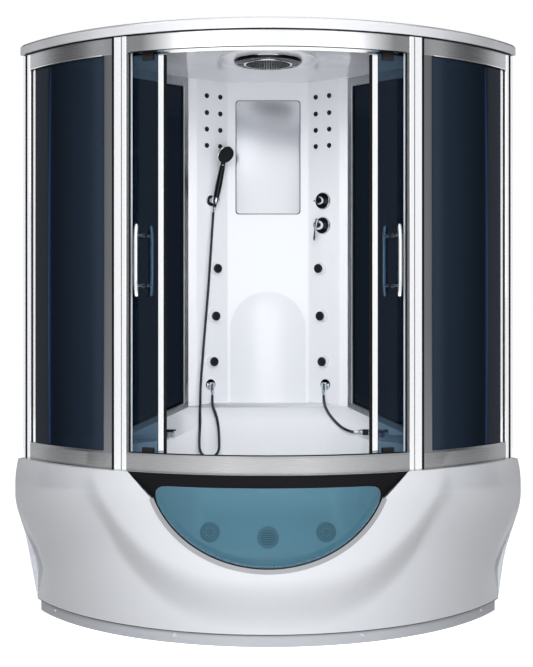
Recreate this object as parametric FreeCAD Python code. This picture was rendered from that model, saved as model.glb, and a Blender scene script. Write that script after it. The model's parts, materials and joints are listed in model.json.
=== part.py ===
import FreeCAD
import Part

import math
import os

# Corner shower enclosure over a jetted tub: a quarter-round front with two curved sliding doors.
# Millimetres, +Z up, front towards -Y, mirror symmetric about X = 0, origin at the footprint's middle.
# "Depth" is the distance behind the middle of the front arc, "inset" the distance inside a wall plane.

V = FreeCAD.Vector
ORIGIN = V(0, 0, 0)
UP = V(0, 0, 1)
SIDE = V(1, 0, 0)
BACK = V(0, 1, 0)
SIDES = (-1, 1)
UNIT = 1.0
FULL_TURN = 360.0
HALF_TURN = 180.0
QUARTER_TURN = 90.0
EIGHTH_TURN = 45.0
WALL_FACING = HALF_TURN - EIGHTH_TURN
FEW_SIDES = 8
SOME_SIDES = 12
RING_SIDES = 16
DISC_SIDES = 20
WHEEL_SIDES = 24
LARGE_SIDES = 36

# Footprint
root_two = math.sqrt(2.0)
wall_side = 1350.0
arc_radius = 1200.0
rear_chamfer_half = 50.0
belly_proud = 50.0
belly_radius = arc_radius + belly_proud
half_span = wall_side / root_two
arc_end_depth = arc_radius - math.sqrt(arc_radius ** 2 - half_span ** 2)
corner_depth = half_span + arc_end_depth
rear_depth = corner_depth - rear_chamfer_half
front_y = belly_proud - (rear_depth + belly_proud) / 2
arc_y = front_y + arc_radius

# Clearances
gap = 0.3
overrun = 5.0
flatness = 1e-6
shaft_clearance = 0.05

# Heights
unit_height = 2200.0
roof_thickness = 40.0
gasket_thickness = 3.0
header_height = 60.0
rim_z = 601.0
threshold_height = 65.0
roof_z = unit_height - roof_thickness
header_top_z = roof_z - gasket_thickness
header_z = header_top_z - header_height
threshold_z = rim_z + threshold_height

# Frame sections, as radii about the arc's centre
roof_radius = 1206.0
rail_outer = 1194.0
rail_inner = 1134.0
rail_wall = 4.0
post_outer = 1198.0
post_step = 6.0
post_inner = 1160.0
post_wall = 3.0
post_start_angle = 25.1
post_step_angle = 27.9
post_end_angle = 30.0
profile_angle = 50.0
profile_inner = 1142.0
profile_reach_angle = 62.0
glass_thickness = 6.0
fixed_glass_radius = 1180.0
glass_rebate = 14.0
gasket_inner = 1150.0

# Doors
door_radius = 1150.0
door_lead_angle = 18.5
door_trail_angle = 47.5
door_glass_z = 655.0
door_glass_lap = 3.0
door_glass_top_z = header_z + door_glass_lap
stile_width = 27.0
trail_width = 14.0
stile_depth = 14.0
hanger_angles = (22.0, 44.0)
hanger_width = 46.0
hanger_thickness = 12.0
hanger_grip = 26.0
hanger_tongue = 4.0
hanger_tongue_height = 34.0
axle_radius = 3.0
roller_radius = 12.0
roller_width = 7.0
track_height = 13.0
track_thickness = 3.0
guide_drop = 13.0
guide_step = 6.0
guide_height = 40.0
guide_lip = 3.0
guide_lip_height = 10.0
ledge_height = 39.0

# Door handles
handle_angle = 22.9
handle_z = 1226.0
handle_length = 256.0
handle_radius = 7.0
handle_standoff = 52.0
handle_bow = 6.0
handle_foot_radius = 5.0
handle_foot_inset = 38.0

# Tub shell
shell = 6.0
deck_z = 640.0
ledge_z = 762.0
deck_bend_depth = 745.0
ledge_bend_depth = 1045.0
deck_blend = 200.0
skirt_z = 560.0
deck_reveal = 3.0
inner_deck_radius = rail_inner - deck_reveal
outer_deck_radius = 1204.7
basin_floor_z = 150.0
basin_top_z = 800.0
basin_front_radius = 1095.0
basin_front_flare = 20.0
basin_inset = 216.0
basin_side_flare = 12.0
basin_rear_depth = 779.0
basin_rear_flare = 143.0
basin_corner = 80.0
basin_floor_blend = 30.0
blend_steps = 2
front_steps = 12
corner_steps = 5
rear_corner_steps = 3

# Apron
base_radius = 1040.0
base_height = 45.0
rim_radius = 1216.0
side_belly_radius = 1230.0
side_belly_z = 505.0
bowl_z = 300.0
crease_blend = 60.0
crease_fade = 100.0
side_low_z = 140.0
side_high_z = 470.0
shoulder_low_z = 300.0
shoulder_high_z = 575.0
shoulder_angle = 26.0
bowl_foot_z = 60.0
bowl_rise = 221.0
bowl_rise_x = 527.0
bowl_blend = 190.0
apron_columns = 35
apron_rows = 13
base_strip_recess = 8.0
base_strip_sector = 70.0

# Apron window
window_half = 433.0
window_drop = 356.0
window_centre_z = 631.0
window_tip_x = 410.0
window_top_half = 511.0
trim_width = 9.0
trim_depth = 55.0
pane_top_z = 557.0
pane_corner = 60.0
oval_steps = 30
pane_radius = 1211.0
tunnel_wall = 5.0
window_low_z = 150.0
window_sector = 40.0
window_tip_z = window_centre_z - window_drop * math.sin(math.acos(window_tip_x / window_half))

# Rear walls
wall_glass_inset = 40.0
wall_frame_depth = 24.0
wall_frame_width = 26.0
wall_rear_x = 351.8
ceiling_rise = 13.0
cabin_ceiling_z = roof_z + ceiling_rise

# Column
column_wall = 5.0
column_edge_x = 351.0
column_edge_depth = 1019.0
column_fold_x = 308.0
column_fold_depth = 1030.0
column_flat_x = 179.0
column_flat_depth = 1121.0
column_edge_share = 0.5
column_fold_share = 0.25
column_flat_share = 0.33
backrest_half = 166.0
backrest_proud = 34.0
backrest_top_z = 1249.0
backrest_crown_share = 0.35
backrest_steps = 3
backrest_sides = 18
mirror_width = 283.0
mirror_height = 499.0
mirror_drop = 568.0
mirror_z = roof_z - mirror_drop
mirror_thickness = 5.0
mirror_corner = 14.0
micro_jet_x = (210.0, 267.0)
micro_jet_drop = (273.0, 202.0, 130.0, 56.0)
micro_jet_z = tuple(roof_z - drop for drop in micro_jet_drop)
micro_jet_radius = 9.0
micro_jet_height = 6.0
body_jet_places = ((247.0, 943.0), (239.0, 1142.0), (232.0, 1350.0))
collar_radius = 27.0
collar_height = 8.0
collar_flare = 2.5
nozzle_start = 3.0
nozzle_stand = 16.0
nozzle_height = 12.0
nozzle_radius = 20.0
nozzle_neck = 7.0

# Column fittings
valve_x = 242.0
diverter_z = 1646.0
mixer_z = 1538.0
valve_radius = 39.0
valve_height = 10.0
diverter_radius = 17.0
diverter_height = 30.0
diverter_lever = 34.0
diverter_lever_radius = 4.0
mixer_radius = 20.0
mixer_height = 46.0
mixer_lever_length = 98.0
mixer_lever_width = 14.0
mixer_lever_thickness = 7.0
mixer_lever_tilt = 8.0
mixer_below_share = 0.7
elbow_x = 253.0
elbow_z = 842.0
elbow_flange = 25.0
elbow_flange_height = 5.0
elbow_radius = 10.0
elbow_reach = 18.0
elbow_drop = 24.0
holder_x = 252.0
holder_z = 1646.0
holder_flange = 24.0
holder_flange_height = 7.0
holder_arm = 9.0
holder_reach = 22.0
cradle_radius = 17.0
cradle_height = 26.0
cradle_bore = 12.3
cradle_taper = 2.0
cradle_boss = 8.0
cradle_standoff = 4.0
handset_grip = 12.0
handset_grip_top = 15.0
handset_below = 28.0
handset_length = 180.0
handset_waist_share = 0.67
handset_head = 36.0
handset_head_height = 22.0
handset_lean = 14.0
handset_slant = 12.0
handset_head_tilt = 62.0

# Roof
pocket_radius = 1130.0
pocket_inset = 25.0
cove_inset = 68.0
cove_rear_depth = 1012.0
cove_radius = 1122.0
recess_skin = 10.0
recess_z = unit_height - recess_skin
recess_inset = 190.0
recess_rear_depth = 930.0
recess_radius = 1095.0
roof_edge = 10.0
rain_depth = 690.0
rain_ring_radius = 198.0
rain_ring_height = 4.0
rain_radius = 138.0
rain_height = 20.0
rain_face_radius = 94.0
rain_face_height = 4.0

# Shelf
shelf_zs = (1577.0, 1845.0)
shelf_near_x = 481.0
shelf_far_x = 723.0
shelf_reach = 112.0
shelf_thickness = 8.0
shelf_corner = 50.0
shelf_rod_radius = 5.0
shelf_rod_inset = 92.0
shelf_rod_overhang = 22.0
shelf_stay_radius = 4.0

# Jet fittings
jet_x = 241.0
jet_z = 249.0
jet_flange_radius = 41.0
jet_flange_height = 6.0
jet_bore = 27.0
jet_nozzle = 23.0
jet_nozzle_height = 16.0
suction_z = 227.0
suction_radius = 46.0
suction_height = 12.0
waste_depth = 560.0
waste_radius = 35.0
waste_height = 4.0
waste_bore = 24.0
plug_radius = 30.0
plug_thickness = 5.0
plug_stem = 6.0
plug_stem_length = 30.0

# Deck fittings
air_x = 405.0
air_depth = 775.0
air_base = 21.0
air_base_height = 12.0
air_knob = 18.0
air_knob_height = 14.0
filler_x = 378.0
filler_length = 106.0
filler_depth = 775.0
filler_z = 666.0
filler_radius = 11.0
filler_foot = 20.0

# Under the tub
beam = 40.0
foot_radius = 35.0
foot_height = 8.0
foot_rod = 7.0
front_beam_x = 580.0
front_beam_depth = 270.0
middle_beam_x = 430.0
middle_beam_depth = 690.0
rear_beam_x = 300.0
rear_beam_depth = 1020.0
long_beam_x = 300.0
long_beam_front_depth = 130.0
pump_x = 640.0
pump_depth = 610.0
pump_radius = 62.0
pump_length = 170.0
pump_head = 72.0
pump_head_length = 60.0
pump_z = 105.0
suction_pipe = 40.0
jet_pipe = 25.0
manifold_z = 330.0
trap_radius = 28.0
trap_height = 44.0
trap_bore = 20.0
trap_bore_depth = 34.0
jet_tail = 50.0

# Hoses, as X, depth, Z
hose_diameter = 12.0
hose_swivel = 2.5
hose_lead = 26.0
bath_hose_diameter = 12.0
bend_share = 0.45


def at(depth):
    return front_y + depth


def polar(radius, angle, z=0.0):
    turn = math.radians(angle)
    return V(radius * math.sin(turn), arc_y - radius * math.cos(turn), z)


def wall_angle(radius, inset=0.0):
    reach = corner_depth - inset * root_two - arc_radius
    x = (reach + math.sqrt(2 * radius ** 2 - reach ** 2)) / 2
    return math.degrees(math.asin(x / radius))


def mirrored(shape):
    return shape.mirror(ORIGIN, SIDE)


def save(node, *solids):
    shape = solids[0] if len(solids) == 1 else Part.makeCompound(list(solids))
    shape.exportStep(os.path.join("parts", node + ".step"))


def save_on_side(side, node, *solids):
    """A piece modelled on the right is mirrored for the left."""
    save(node, *(solids if side > 0 else [mirrored(solid) for solid in solids]))


def plan_wire(radius, inset, z, rear=None):
    angle = wall_angle(radius, inset)
    rear_line = (rear_depth - inset) if rear is None else rear
    rear_x = corner_depth - inset * root_two - rear_line
    left, right = polar(radius, -angle, z), polar(radius, angle, z)
    rear_right, rear_left = V(rear_x, at(rear_line), z), V(-rear_x, at(rear_line), z)
    edges = [Part.Arc(left, polar(radius, 0, z), right).toShape()]
    edges += [Part.makeLine(a, b) for a, b in ((right, rear_right), (rear_right, rear_left), (rear_left, left))]
    return Part.Wire(edges)


def plan_prism(radius, inset, z, top, rear=None):
    return Part.Face(plan_wire(radius, inset, z, rear)).extrude(UP * (top - z))


def ring(section, start, end, centre_y=None):
    corners = [V(radius, 0, z) for radius, z in section]
    solid = Part.Face(Part.makePolygon(corners + corners[:1])).revolve(ORIGIN, UP, end - start)
    solid.rotate(ORIGIN, UP, start - QUARTER_TURN)
    solid.translate(V(0, arc_y if centre_y is None else centre_y, 0))
    return solid


def band(inner, outer, z, top, start, end, centre_y=None):
    return ring([(inner, z), (outer, z), (outer, top), (inner, top)], start, end, centre_y)


def fuse_all(shapes):
    return shapes[0].multiFuse(shapes[1:]).removeSplitter()


def flat_prism(corners, direction):
    return Part.Face(Part.makePolygon(corners + corners[:1])).extrude(direction)


def polygon(radius, z, sides):
    turns = [2 * math.pi * index / sides for index in range(sides)]
    return [V(radius * math.cos(turn), radius * math.sin(turn), z) for turn in turns]


def flat_face(corners):
    return Part.Face(Part.makePolygon(corners + corners[:1]))


def quad_faces(a, b, c, d):
    """One flat face, or two triangles along the shorter diagonal where the corners are not in a plane."""
    normal = (b - a).cross(c - a)
    if abs(normal.normalize().dot(d - a)) < flatness:
        return [flat_face([a, b, c, d])]
    if (c - a).Length < (d - b).Length:
        return [flat_face([a, b, c]), flat_face([a, c, d])]
    return [flat_face([a, b, d]), flat_face([b, c, d])]


def facet_solid(rings):
    """A closed solid of flat faces through rings of matching points."""
    faces = [flat_face(rings[0]), flat_face(rings[-1])]
    for low, high in zip(rings, rings[1:]):
        for index, start in enumerate(low):
            after = (index + 1) % len(low)
            faces += quad_faces(start, low[after], high[after], high[index])
    solid = Part.Solid(Part.Shell(faces))
    return solid if solid.Volume > 0 else solid.reversed()


def faceted(profile, sides):
    """A round piece with flat sides at the given radii and heights."""
    return facet_solid([polygon(radius, z, sides) for radius, z in profile])


def mitred_pipe(points, diameter, sides):
    """A pipe of straight runs with mitred corners."""
    corners = polygon(diameter / 2, 0, sides)
    section = placed(Part.makePolygon(corners + corners[:1]), points[0], (points[1] - points[0]).normalize())
    return Part.makePolygon(points).makePipeShell([section], True, False, 1)


def placed(shape, origin, outward):
    """Local Z turned to the outward direction, local Y kept as near upright as it can be."""
    along = UP.cross(outward)
    along = along.normalize() if along.Length > 1e-6 else SIDE
    moved = shape.copy()
    moved.Placement = FreeCAD.Placement(origin, FreeCAD.Rotation(along, outward.cross(along), outward, "ZXY"))
    return moved


# Tub shell

def deck_prism(drop):
    flat, raised = deck_z - drop, ledge_z - drop
    corners = [V(0, at(-wall_side), flat), V(0, at(deck_bend_depth), flat), V(0, at(ledge_bend_depth), raised),
               V(0, at(corner_depth), raised), V(0, at(corner_depth), -shell), V(0, at(-wall_side), -shell)]
    prism = flat_prism(corners, V(2 * wall_side, 0, 0))
    prism.translate(V(-wall_side, 0, 0))
    bends = []
    for edge in prism.Edges:
        first = edge.Vertexes[0].Point
        along = abs(edge.tangentAt(edge.FirstParameter).x) > 1 - 1e-6
        at_bend = any(abs(first.y - at(depth)) < gap for depth in (deck_bend_depth, ledge_bend_depth))
        if along and at_bend:
            bends.append(edge)
    return prism.makeFillet(deck_blend, bends)


def arc_points(centre, radius, start, end, steps):
    angles = [math.radians(start + (end - start) * step / steps) for step in range(steps + 1)]
    return [centre + V(radius * math.sin(angle), -radius * math.cos(angle), 0) for angle in angles]


def basin_outline(z, grow):
    """The basin's plan at one height: front arc, side and rear lines, rounded where they meet."""
    flare = (z - basin_floor_z) / (basin_top_z - basin_floor_z)
    side = basin_inset - basin_side_flare * flare - grow
    rear = basin_rear_depth + basin_rear_flare * flare + grow
    radius = basin_front_radius + basin_front_flare * flare + grow
    corner = basin_corner + grow
    front_end = wall_angle(radius - corner, side + corner)
    rear_x = corner_depth - (side + corner) * root_two - rear + corner
    half = arc_points(V(0, arc_y, z), radius, 0, front_end, front_steps)
    half += arc_points(polar(radius - corner, front_end, z), corner, front_end, WALL_FACING, corner_steps)[1:]
    half += arc_points(V(rear_x, at(rear - corner), z), corner, WALL_FACING, HALF_TURN, rear_corner_steps)
    return half + [V(-point.x, point.y, z) for point in reversed(half[1:])]


def basin(grow):
    """The basin's space grown by a wall, its floor rounded by a few flat steps."""
    blend = basin_floor_blend + grow
    outlines = []
    for step in range(blend_steps + 1):
        turn = math.pi / 2 * step / blend_steps
        z = basin_floor_z - grow + blend * (1 - math.cos(turn))
        outlines.append(basin_outline(z, grow - blend * (1 - math.sin(turn))))
    outlines.append(basin_outline(basin_top_z, grow))
    return facet_solid(outlines)


def basin_rear_depth_at(z):
    return basin_rear_depth + basin_rear_flare * (z - basin_floor_z) / (basin_top_z - basin_floor_z)


def oval_points(half, drop, tip_z):
    """The window's lower outline from its left tip round to the right one."""
    turn = math.asin((window_centre_z - tip_z) / drop)
    angles = [math.pi + turn + (math.pi - 2 * turn) * step / oval_steps for step in range(oval_steps + 1)]
    return [V(half * math.cos(angle), at(-arc_radius / 4), window_centre_z + drop * math.sin(angle))
            for angle in angles]


def bent_corner(start, tip, end):
    shares = [step / corner_steps for step in range(corner_steps + 1)]
    return [start * (1 - share) ** 2 + tip * (2 * share * (1 - share)) + end * share ** 2 for share in shares]


def window_prism(grow):
    half, drop = window_half + grow, window_drop + grow
    oval = oval_points(half, drop, window_centre_z - drop * math.sin(math.acos((window_tip_x + grow) / half)))
    tops = [V(side * (window_top_half + grow), oval[0].y, rim_z + overrun) for side in reversed(SIDES)]
    return flat_prism(oval + tops, BACK * (arc_radius / 2))


def pane_prism(grow):
    half, drop, top_z = window_half - trim_width + grow, window_drop - trim_width + grow, pane_top_z + grow
    oval = oval_points(half, drop, pane_top_z - pane_corner)
    tip = oval_points(half, drop, top_z)[-1]
    corner = bent_corner(oval[-1], tip, tip - SIDE * pane_corner)[1:]
    other = [V(-point.x, point.y, point.z) for point in reversed(corner)]
    return flat_prism(oval + corner + other, BACK * (arc_radius / 2))


def raised_deck(drop, low):
    """What lies under the raised deck's top inside the glass line, lowered and drawn in by a skin."""
    return plan_prism(inner_deck_radius - drop, drop, low, basin_top_z).common(deck_prism(drop))


def window_zone(inner, outer, low, top):
    return band(inner, outer, low, top, -window_sector, window_sector)


def tub_shell():
    ledge = plan_prism(outer_deck_radius, 0, rim_z - shell, rim_z)
    deck = raised_deck(0, skirt_z).fuse(ledge).cut(raised_deck(shell, skirt_z - overrun))
    body = deck.fuse(basin(shell).common(deck_prism(0)))
    tunnel_end = pane_radius - glass_thickness - gap
    tunnel = pane_prism(tunnel_wall).common(window_zone(basin_front_radius, tunnel_end, window_low_z, rim_z - shell))
    light = pane_prism(0).common(window_zone(basin_front_radius - deck_blend / 2, tunnel_end + overrun,
                                             window_low_z, rim_z))
    body = body.fuse(tunnel).cut(basin(0)).cut(light)
    for x in (-jet_x, jet_x):
        body = body.cut(wall_cylinder(x, jet_z, jet_bore))
    body = body.cut(wall_cylinder(0, suction_z, suction_pipe / 2))
    waste = Part.makeCylinder(waste_bore, 4 * shell, V(0, at(waste_depth), basin_floor_z - 2 * shell))
    return body.cut(waste)


def basin_rear_place(x, z):
    lean = math.atan2(basin_rear_flare, basin_top_z - basin_floor_z)
    outward = V(0, -math.cos(lean), math.sin(lean))
    return V(x, at(basin_rear_depth_at(z)), z), outward


def wall_cylinder(x, z, radius):
    origin, outward = basin_rear_place(x, z)
    return placed(Part.makeCylinder(radius, 4 * shell, V(0, 0, -2 * shell)), origin, outward)


# Apron

def clamped(value):
    return min(max(value, 0), UNIT)


def smooth_step(value):
    share = clamped(value)
    return share * share * (3 - 2 * share)


def base_arc_radius(angle):
    turn = math.radians(angle)
    offset = arc_radius - base_radius
    return offset * math.cos(turn) + math.sqrt(base_radius ** 2 - (offset * math.sin(turn)) ** 2)


def apron_radius(angle, z):
    base = base_arc_radius(angle)
    across = clamped((abs(angle) - shoulder_angle) / (profile_angle - shoulder_angle))
    low = shoulder_low_z + (side_low_z - shoulder_low_z) * across
    high = shoulder_high_z + (side_high_z - shoulder_high_z) * across
    above = max(z - side_belly_z, 0) / (rim_z - side_belly_z)
    belly = side_belly_radius - (side_belly_radius - rim_radius) * above ** 2
    side = base + (belly - base) * smooth_step((z - low) / (high - low))
    rise = max(z - bowl_z, 0) / (rim_z - bowl_z)
    bowl_top = rim_radius + (belly_radius - rim_radius) * (1 - rise ** 2)
    x = base * math.sin(math.radians(angle))
    foot = bowl_foot_z + bowl_rise * abs(x / bowl_rise_x) ** 3
    bowl = base + (bowl_top - base) * smooth_step((z - foot) / bowl_blend)
    reach = max(side, bowl)
    fade = clamped(min(z - base_height, rim_z - z) / crease_fade)
    blend = max(min(crease_blend * fade, reach - base), flatness)
    return reach + max(blend - abs(side - bowl), 0) ** 2 / (4 * blend)


def apron_points(z, depth_in):
    end = wall_angle(apron_radius(profile_angle, z) - depth_in, gap)
    angles = [end * (2 * column / (apron_columns - 1) - 1) for column in range(apron_columns)]
    return [polar(apron_radius(angle, z) - depth_in, angle, z) for angle in angles]


def apron_solid(thickness):
    heights = [base_height + (rim_z - base_height) * row / (apron_rows - 1) for row in range(apron_rows)]
    return facet_solid([apron_points(z, 0) + apron_points(z, thickness)[::-1] for z in heights])


def apron_parts():
    top = band(outer_deck_radius + gap, rim_radius - shell / 2, rim_z - shell, rim_z, -profile_angle, profile_angle)
    apron = apron_solid(shell).fuse(top).cut(window_prism(0))
    reach = window_zone(pane_radius - glass_thickness, belly_radius + overrun, window_low_z, window_tip_z)
    trim = apron_solid(trim_depth).common(window_prism(-gap)).cut(window_prism(-trim_width)).common(reach)
    return apron, trim


def window_parts():
    inner = pane_radius - glass_thickness
    pane = window_zone(inner, pane_radius, window_low_z, rim_z).common(pane_prism(-3 * gap))
    head = window_zone(inner, pane_radius, pane_top_z - pane_corner, rim_z)
    black = head.common(window_prism(-gap)).cut(pane_prism(0)).cut(trim_zone())
    return pane, black


def trim_zone():
    zone = window_zone(basin_front_radius, belly_radius, window_low_z, window_tip_z + gap)
    return zone.common(window_prism(0)).cut(window_prism(-trim_width - gap))


def base_strip():
    outer = base_radius - base_strip_recess
    strip = band(outer - shell, outer, 0, base_height, -base_strip_sector, base_strip_sector, at(base_radius))
    return strip.common(plan_prism(belly_radius, wall_glass_inset / 2, -overrun, rim_z))


# Enclosure frame

def post_envelope(wall=0.0):
    step_inner = post_outer - post_step
    turn = math.degrees(wall / post_outer)
    main = band(post_inner + wall, post_outer - wall, rim_z, header_top_z, post_start_angle + turn,
                post_end_angle - turn)
    notch = band(step_inner - wall, arc_radius + wall_side, rim_z, header_top_z, post_step_angle - turn,
                 profile_angle)
    return main.cut(notch)


def front_post():
    return post_envelope().cut(post_envelope(post_wall))


def profile_block(wall):
    turn = math.degrees(wall / rail_outer)
    wedge = band(profile_inner + wall, rail_outer - wall, rim_z, header_top_z, profile_angle + turn,
                 profile_reach_angle)
    return wedge.common(plan_prism(belly_radius, wall, rim_z, header_top_z))


def wall_profile():
    return profile_block(0).cut(profile_block(post_wall))


def header_rail():
    low, high = header_z, header_top_z
    track_z = low + track_height
    webs = ((rail_inner, rail_outer, high - rail_wall, high), (rail_outer - rail_wall, rail_outer, low, high),
            (rail_inner, rail_inner + rail_wall, low, high),
            (rail_inner, track_edge(), track_z, track_z + track_thickness))
    rail = fuse_all([band(*web_edges, -profile_angle, profile_angle) for web_edges in webs])
    return rail.cut(post_pair())


def track_edge():
    return door_radius - hanger_tongue / 2 - 2 * gap


def post_pair():
    post = post_envelope()
    return Part.makeCompound([post, mirrored(post)])


def bottom_rail():
    ledge = rim_z + ledge_height
    lip = door_radius - hanger_thickness / 2 - guide_step - gap
    section = [(rail_inner, rim_z), (rail_outer, rim_z), (rail_outer, threshold_z - 2 * rail_wall),
               (rail_outer - rail_wall, threshold_z), (post_inner, threshold_z), (post_inner, ledge),
               (lip + guide_lip, ledge), (lip + guide_lip, ledge + guide_lip_height),
               (lip, ledge + guide_lip_height), (lip, ledge), (rail_inner, ledge)]
    rail = ring(section, -profile_angle, profile_angle)
    half = glass_thickness / 2 + gap
    for side in SIDES:
        start, end = sorted((side * post_end_angle, side * profile_angle))
        groove = band(fixed_glass_radius - half, fixed_glass_radius + half, threshold_z - glass_rebate,
                      threshold_z + overrun, start, end)
        rail = rail.cut(groove)
    return rail.cut(post_pair())


def fixed_glass():
    turn = math.degrees(gap / arc_radius)
    return band(fixed_glass_radius - glass_thickness / 2, fixed_glass_radius + glass_thickness / 2,
                threshold_z - glass_rebate + gap, header_z + glass_rebate, post_end_angle + turn,
                profile_angle - turn)


def roof_gasket():
    return band(gasket_inner, rail_outer - rail_wall / 2, header_top_z, roof_z, -profile_angle, profile_angle)


# Rear walls

def wall_point(x, inset):
    """A point at an inset from the wall plane, square to the place on the glass plane with this X."""
    forward = (inset - wall_glass_inset) / root_two
    return V(x - forward, at(corner_depth - wall_glass_inset * root_two - x - forward), rim_z)


def wall_slab(front, back, start_x, end_x, top):
    corners = [wall_point(start_x, front), wall_point(end_x, front), wall_point(end_x, back),
               wall_point(start_x, back)]
    return flat_prism(corners, UP * (top - rim_z))


def above_deck(rise):
    """All the space under the deck's top when it is lifted by the rise."""
    prism = deck_prism(0)
    prism.translate(UP * rise)
    return prism


def wall_panel():
    front = wall_glass_inset + wall_frame_depth / 2
    back = wall_glass_inset - wall_frame_depth / 2
    end_x = polar(profile_inner, wall_angle(profile_inner, wall_glass_inset)).x
    step = wall_frame_width / root_two
    post_line = band(profile_inner - gap, belly_radius, rim_z, unit_height, post_end_angle, profile_reach_angle)
    roof_line = band(pocket_radius - gap, belly_radius, roof_z - gap, unit_height, post_end_angle,
                     profile_reach_angle)
    slab = wall_slab(front, back, wall_rear_x, end_x + step, cabin_ceiling_z)
    slab = slab.cut(post_line).cut(roof_line).cut(above_deck(0))
    opening = wall_slab(front + overrun, back - overrun, wall_rear_x + step, end_x - step,
                        roof_z - wall_frame_width).cut(above_deck(wall_frame_width))
    half, edge = glass_thickness / 2, gap / root_two
    glass = wall_slab(wall_glass_inset + half, wall_glass_inset - half, wall_rear_x + step + edge,
                      end_x - step - edge, roof_z - wall_frame_width - gap)
    return slab.cut(opening), glass.cut(above_deck(wall_frame_width + gap))


# Column

def column_outline(offset):
    return [V(column_edge_x - offset * column_edge_share, at(column_edge_depth + offset), 0),
            V(column_fold_x - offset * column_fold_share, at(column_fold_depth + offset), 0),
            V(column_flat_x - offset * column_flat_share, at(column_flat_depth + offset), 0)]


def column_wires():
    front, back = column_outline(0), column_outline(column_wall)
    half = front + [V(-point.x, point.y, 0) for point in reversed(front)]
    rear = back + [V(-point.x, point.y, 0) for point in reversed(back)]
    return half, rear


def facet_place(x, z):
    """The point of a column facet at this X and the facet's outward direction."""
    side = 1 if x > 0 else -1
    share = (column_fold_x - abs(x)) / (column_fold_x - column_flat_x)
    depth = column_fold_depth + (column_flat_depth - column_fold_depth) * share
    run, fall = column_fold_x - column_flat_x, column_flat_depth - column_fold_depth
    outward = V(-side * fall, -run, 0).normalize()
    return V(x, at(depth), z), outward


def on_facet(shape, x, z):
    origin, outward = facet_place(x, z)
    return placed(shape, origin, outward)


def arch(radius, proud):
    centre = V(0, at(column_flat_depth) - proud, backrest_top_z - backrest_half)
    angles = [math.pi * step / backrest_sides for step in range(backrest_sides + 1)]
    crown = [centre + V(radius * math.cos(angle), 0, radius * math.sin(angle)) for angle in angles]
    return crown + [V(side * radius, centre.y, deck_z) for side in SIDES]


def backrest():
    """The arched cushion form that stands proud of the column's flat."""
    outlines = [arch(backrest_half, -column_wall / 2)]
    for step in range(backrest_steps + 1):
        turn = math.pi / 2 * step / backrest_steps
        drawn_in = backrest_half * backrest_crown_share * (1 - math.cos(turn))
        outlines.append(arch(backrest_half - drawn_in, backrest_proud * math.sin(turn)))
    return facet_solid(outlines)


def column_panel():
    front, rear = column_wires()
    wall = flat_prism(front + list(reversed(rear)), UP * (cabin_ceiling_z - rim_z))
    wall.translate(UP * rim_z)
    return wall.fuse(backrest()).cut(deck_prism(0))


def mirror_plate():
    plate = Part.makeBox(mirror_width, mirror_thickness, mirror_height,
                         V(-mirror_width / 2, at(column_flat_depth) - mirror_thickness, mirror_z))
    corners = [edge for edge in plate.Edges if edge.BoundBox.YLength > mirror_thickness - gap and
               edge.BoundBox.ZLength < gap and edge.BoundBox.XLength < gap]
    return plate.makeFillet(mirror_corner, corners)


def micro_jets():
    stud = faceted([(micro_jet_radius, 0), (micro_jet_radius, micro_jet_height)], FEW_SIDES)
    return [on_facet(stud, side * x, z) for side in SIDES for x in micro_jet_x for z in micro_jet_z]


def jet_collars():
    collar = faceted([(collar_radius, 0), (collar_radius, collar_height)], RING_SIDES)
    bore = faceted([(nozzle_neck + collar_flare, -overrun), (nozzle_neck + collar_flare, 2 * collar_height)],
                   FEW_SIDES)
    collar = collar.cut(bore)
    return [on_facet(collar, side * x, z) for side in SIDES for x, z in body_jet_places]


def body_nozzle(x, z):
    neck = faceted([(nozzle_neck, nozzle_start), (nozzle_neck, nozzle_stand + nozzle_height / 2)], FEW_SIDES)
    disc = faceted([(nozzle_radius, nozzle_stand), (nozzle_radius, nozzle_stand + nozzle_height)], RING_SIDES)
    return on_facet(neck.fuse(disc), x, z)


def wall_fittings():
    rosette = faceted([(valve_radius, 0), (valve_radius - valve_height / 2, valve_height)], DISC_SIDES)
    solids = [on_facet(rosette, valve_x, z) for z in (diverter_z, mixer_z)]
    solids += [elbow(side * elbow_x) for side in SIDES]
    holder = faceted([(holder_flange, 0), (holder_flange, holder_flange_height)], RING_SIDES)
    arm = faceted([(holder_arm, 0), (holder_arm, holder_reach)], SOME_SIDES)
    solids.append(on_facet(holder.fuse(arm), -holder_x, holder_z))
    return solids


def elbow(x):
    origin = facet_place(x, elbow_z)[0]
    flange = faceted([(elbow_flange, 0), (elbow_flange, elbow_flange_height)], RING_SIDES)
    bend = elbow_tip(x) + UP * elbow_drop
    return on_facet(flange, x, elbow_z).fuse(mitred_pipe([origin, bend, elbow_tip(x)], 2 * elbow_radius, SOME_SIDES))


def elbow_tip(x):
    origin, outward = facet_place(x, elbow_z)
    return origin + outward * elbow_reach - UP * elbow_drop


def diverter_knob():
    low = valve_height + gap
    body = faceted([(diverter_radius, low), (diverter_radius, low + diverter_height)], RING_SIDES)
    lever = faceted([(diverter_lever_radius, 0), (diverter_lever_radius, diverter_lever)], FEW_SIDES)
    lever = placed(lever, V(0, 0, low + diverter_height / 2), -SIDE)
    return on_facet(body.fuse(lever), valve_x, diverter_z)


def mixer_lever():
    low = valve_height + gap
    body = faceted([(mixer_radius, low), (mixer_radius, low + mixer_height)], RING_SIDES)
    bar = Part.makeBox(mixer_lever_width, mixer_lever_length, mixer_lever_thickness,
                       V(-mixer_lever_width / 2, -mixer_lever_length * mixer_below_share, low + mixer_height))
    bar.rotate(ORIGIN, UP, -mixer_lever_tilt)
    return on_facet(body.fuse(bar), valve_x, mixer_z)


# Handset, its holder and the hoses

def handset_pivot():
    origin, outward = facet_place(-holder_x, holder_z)
    return origin + outward * (holder_reach + gap + cradle_standoff + cradle_radius)


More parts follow.
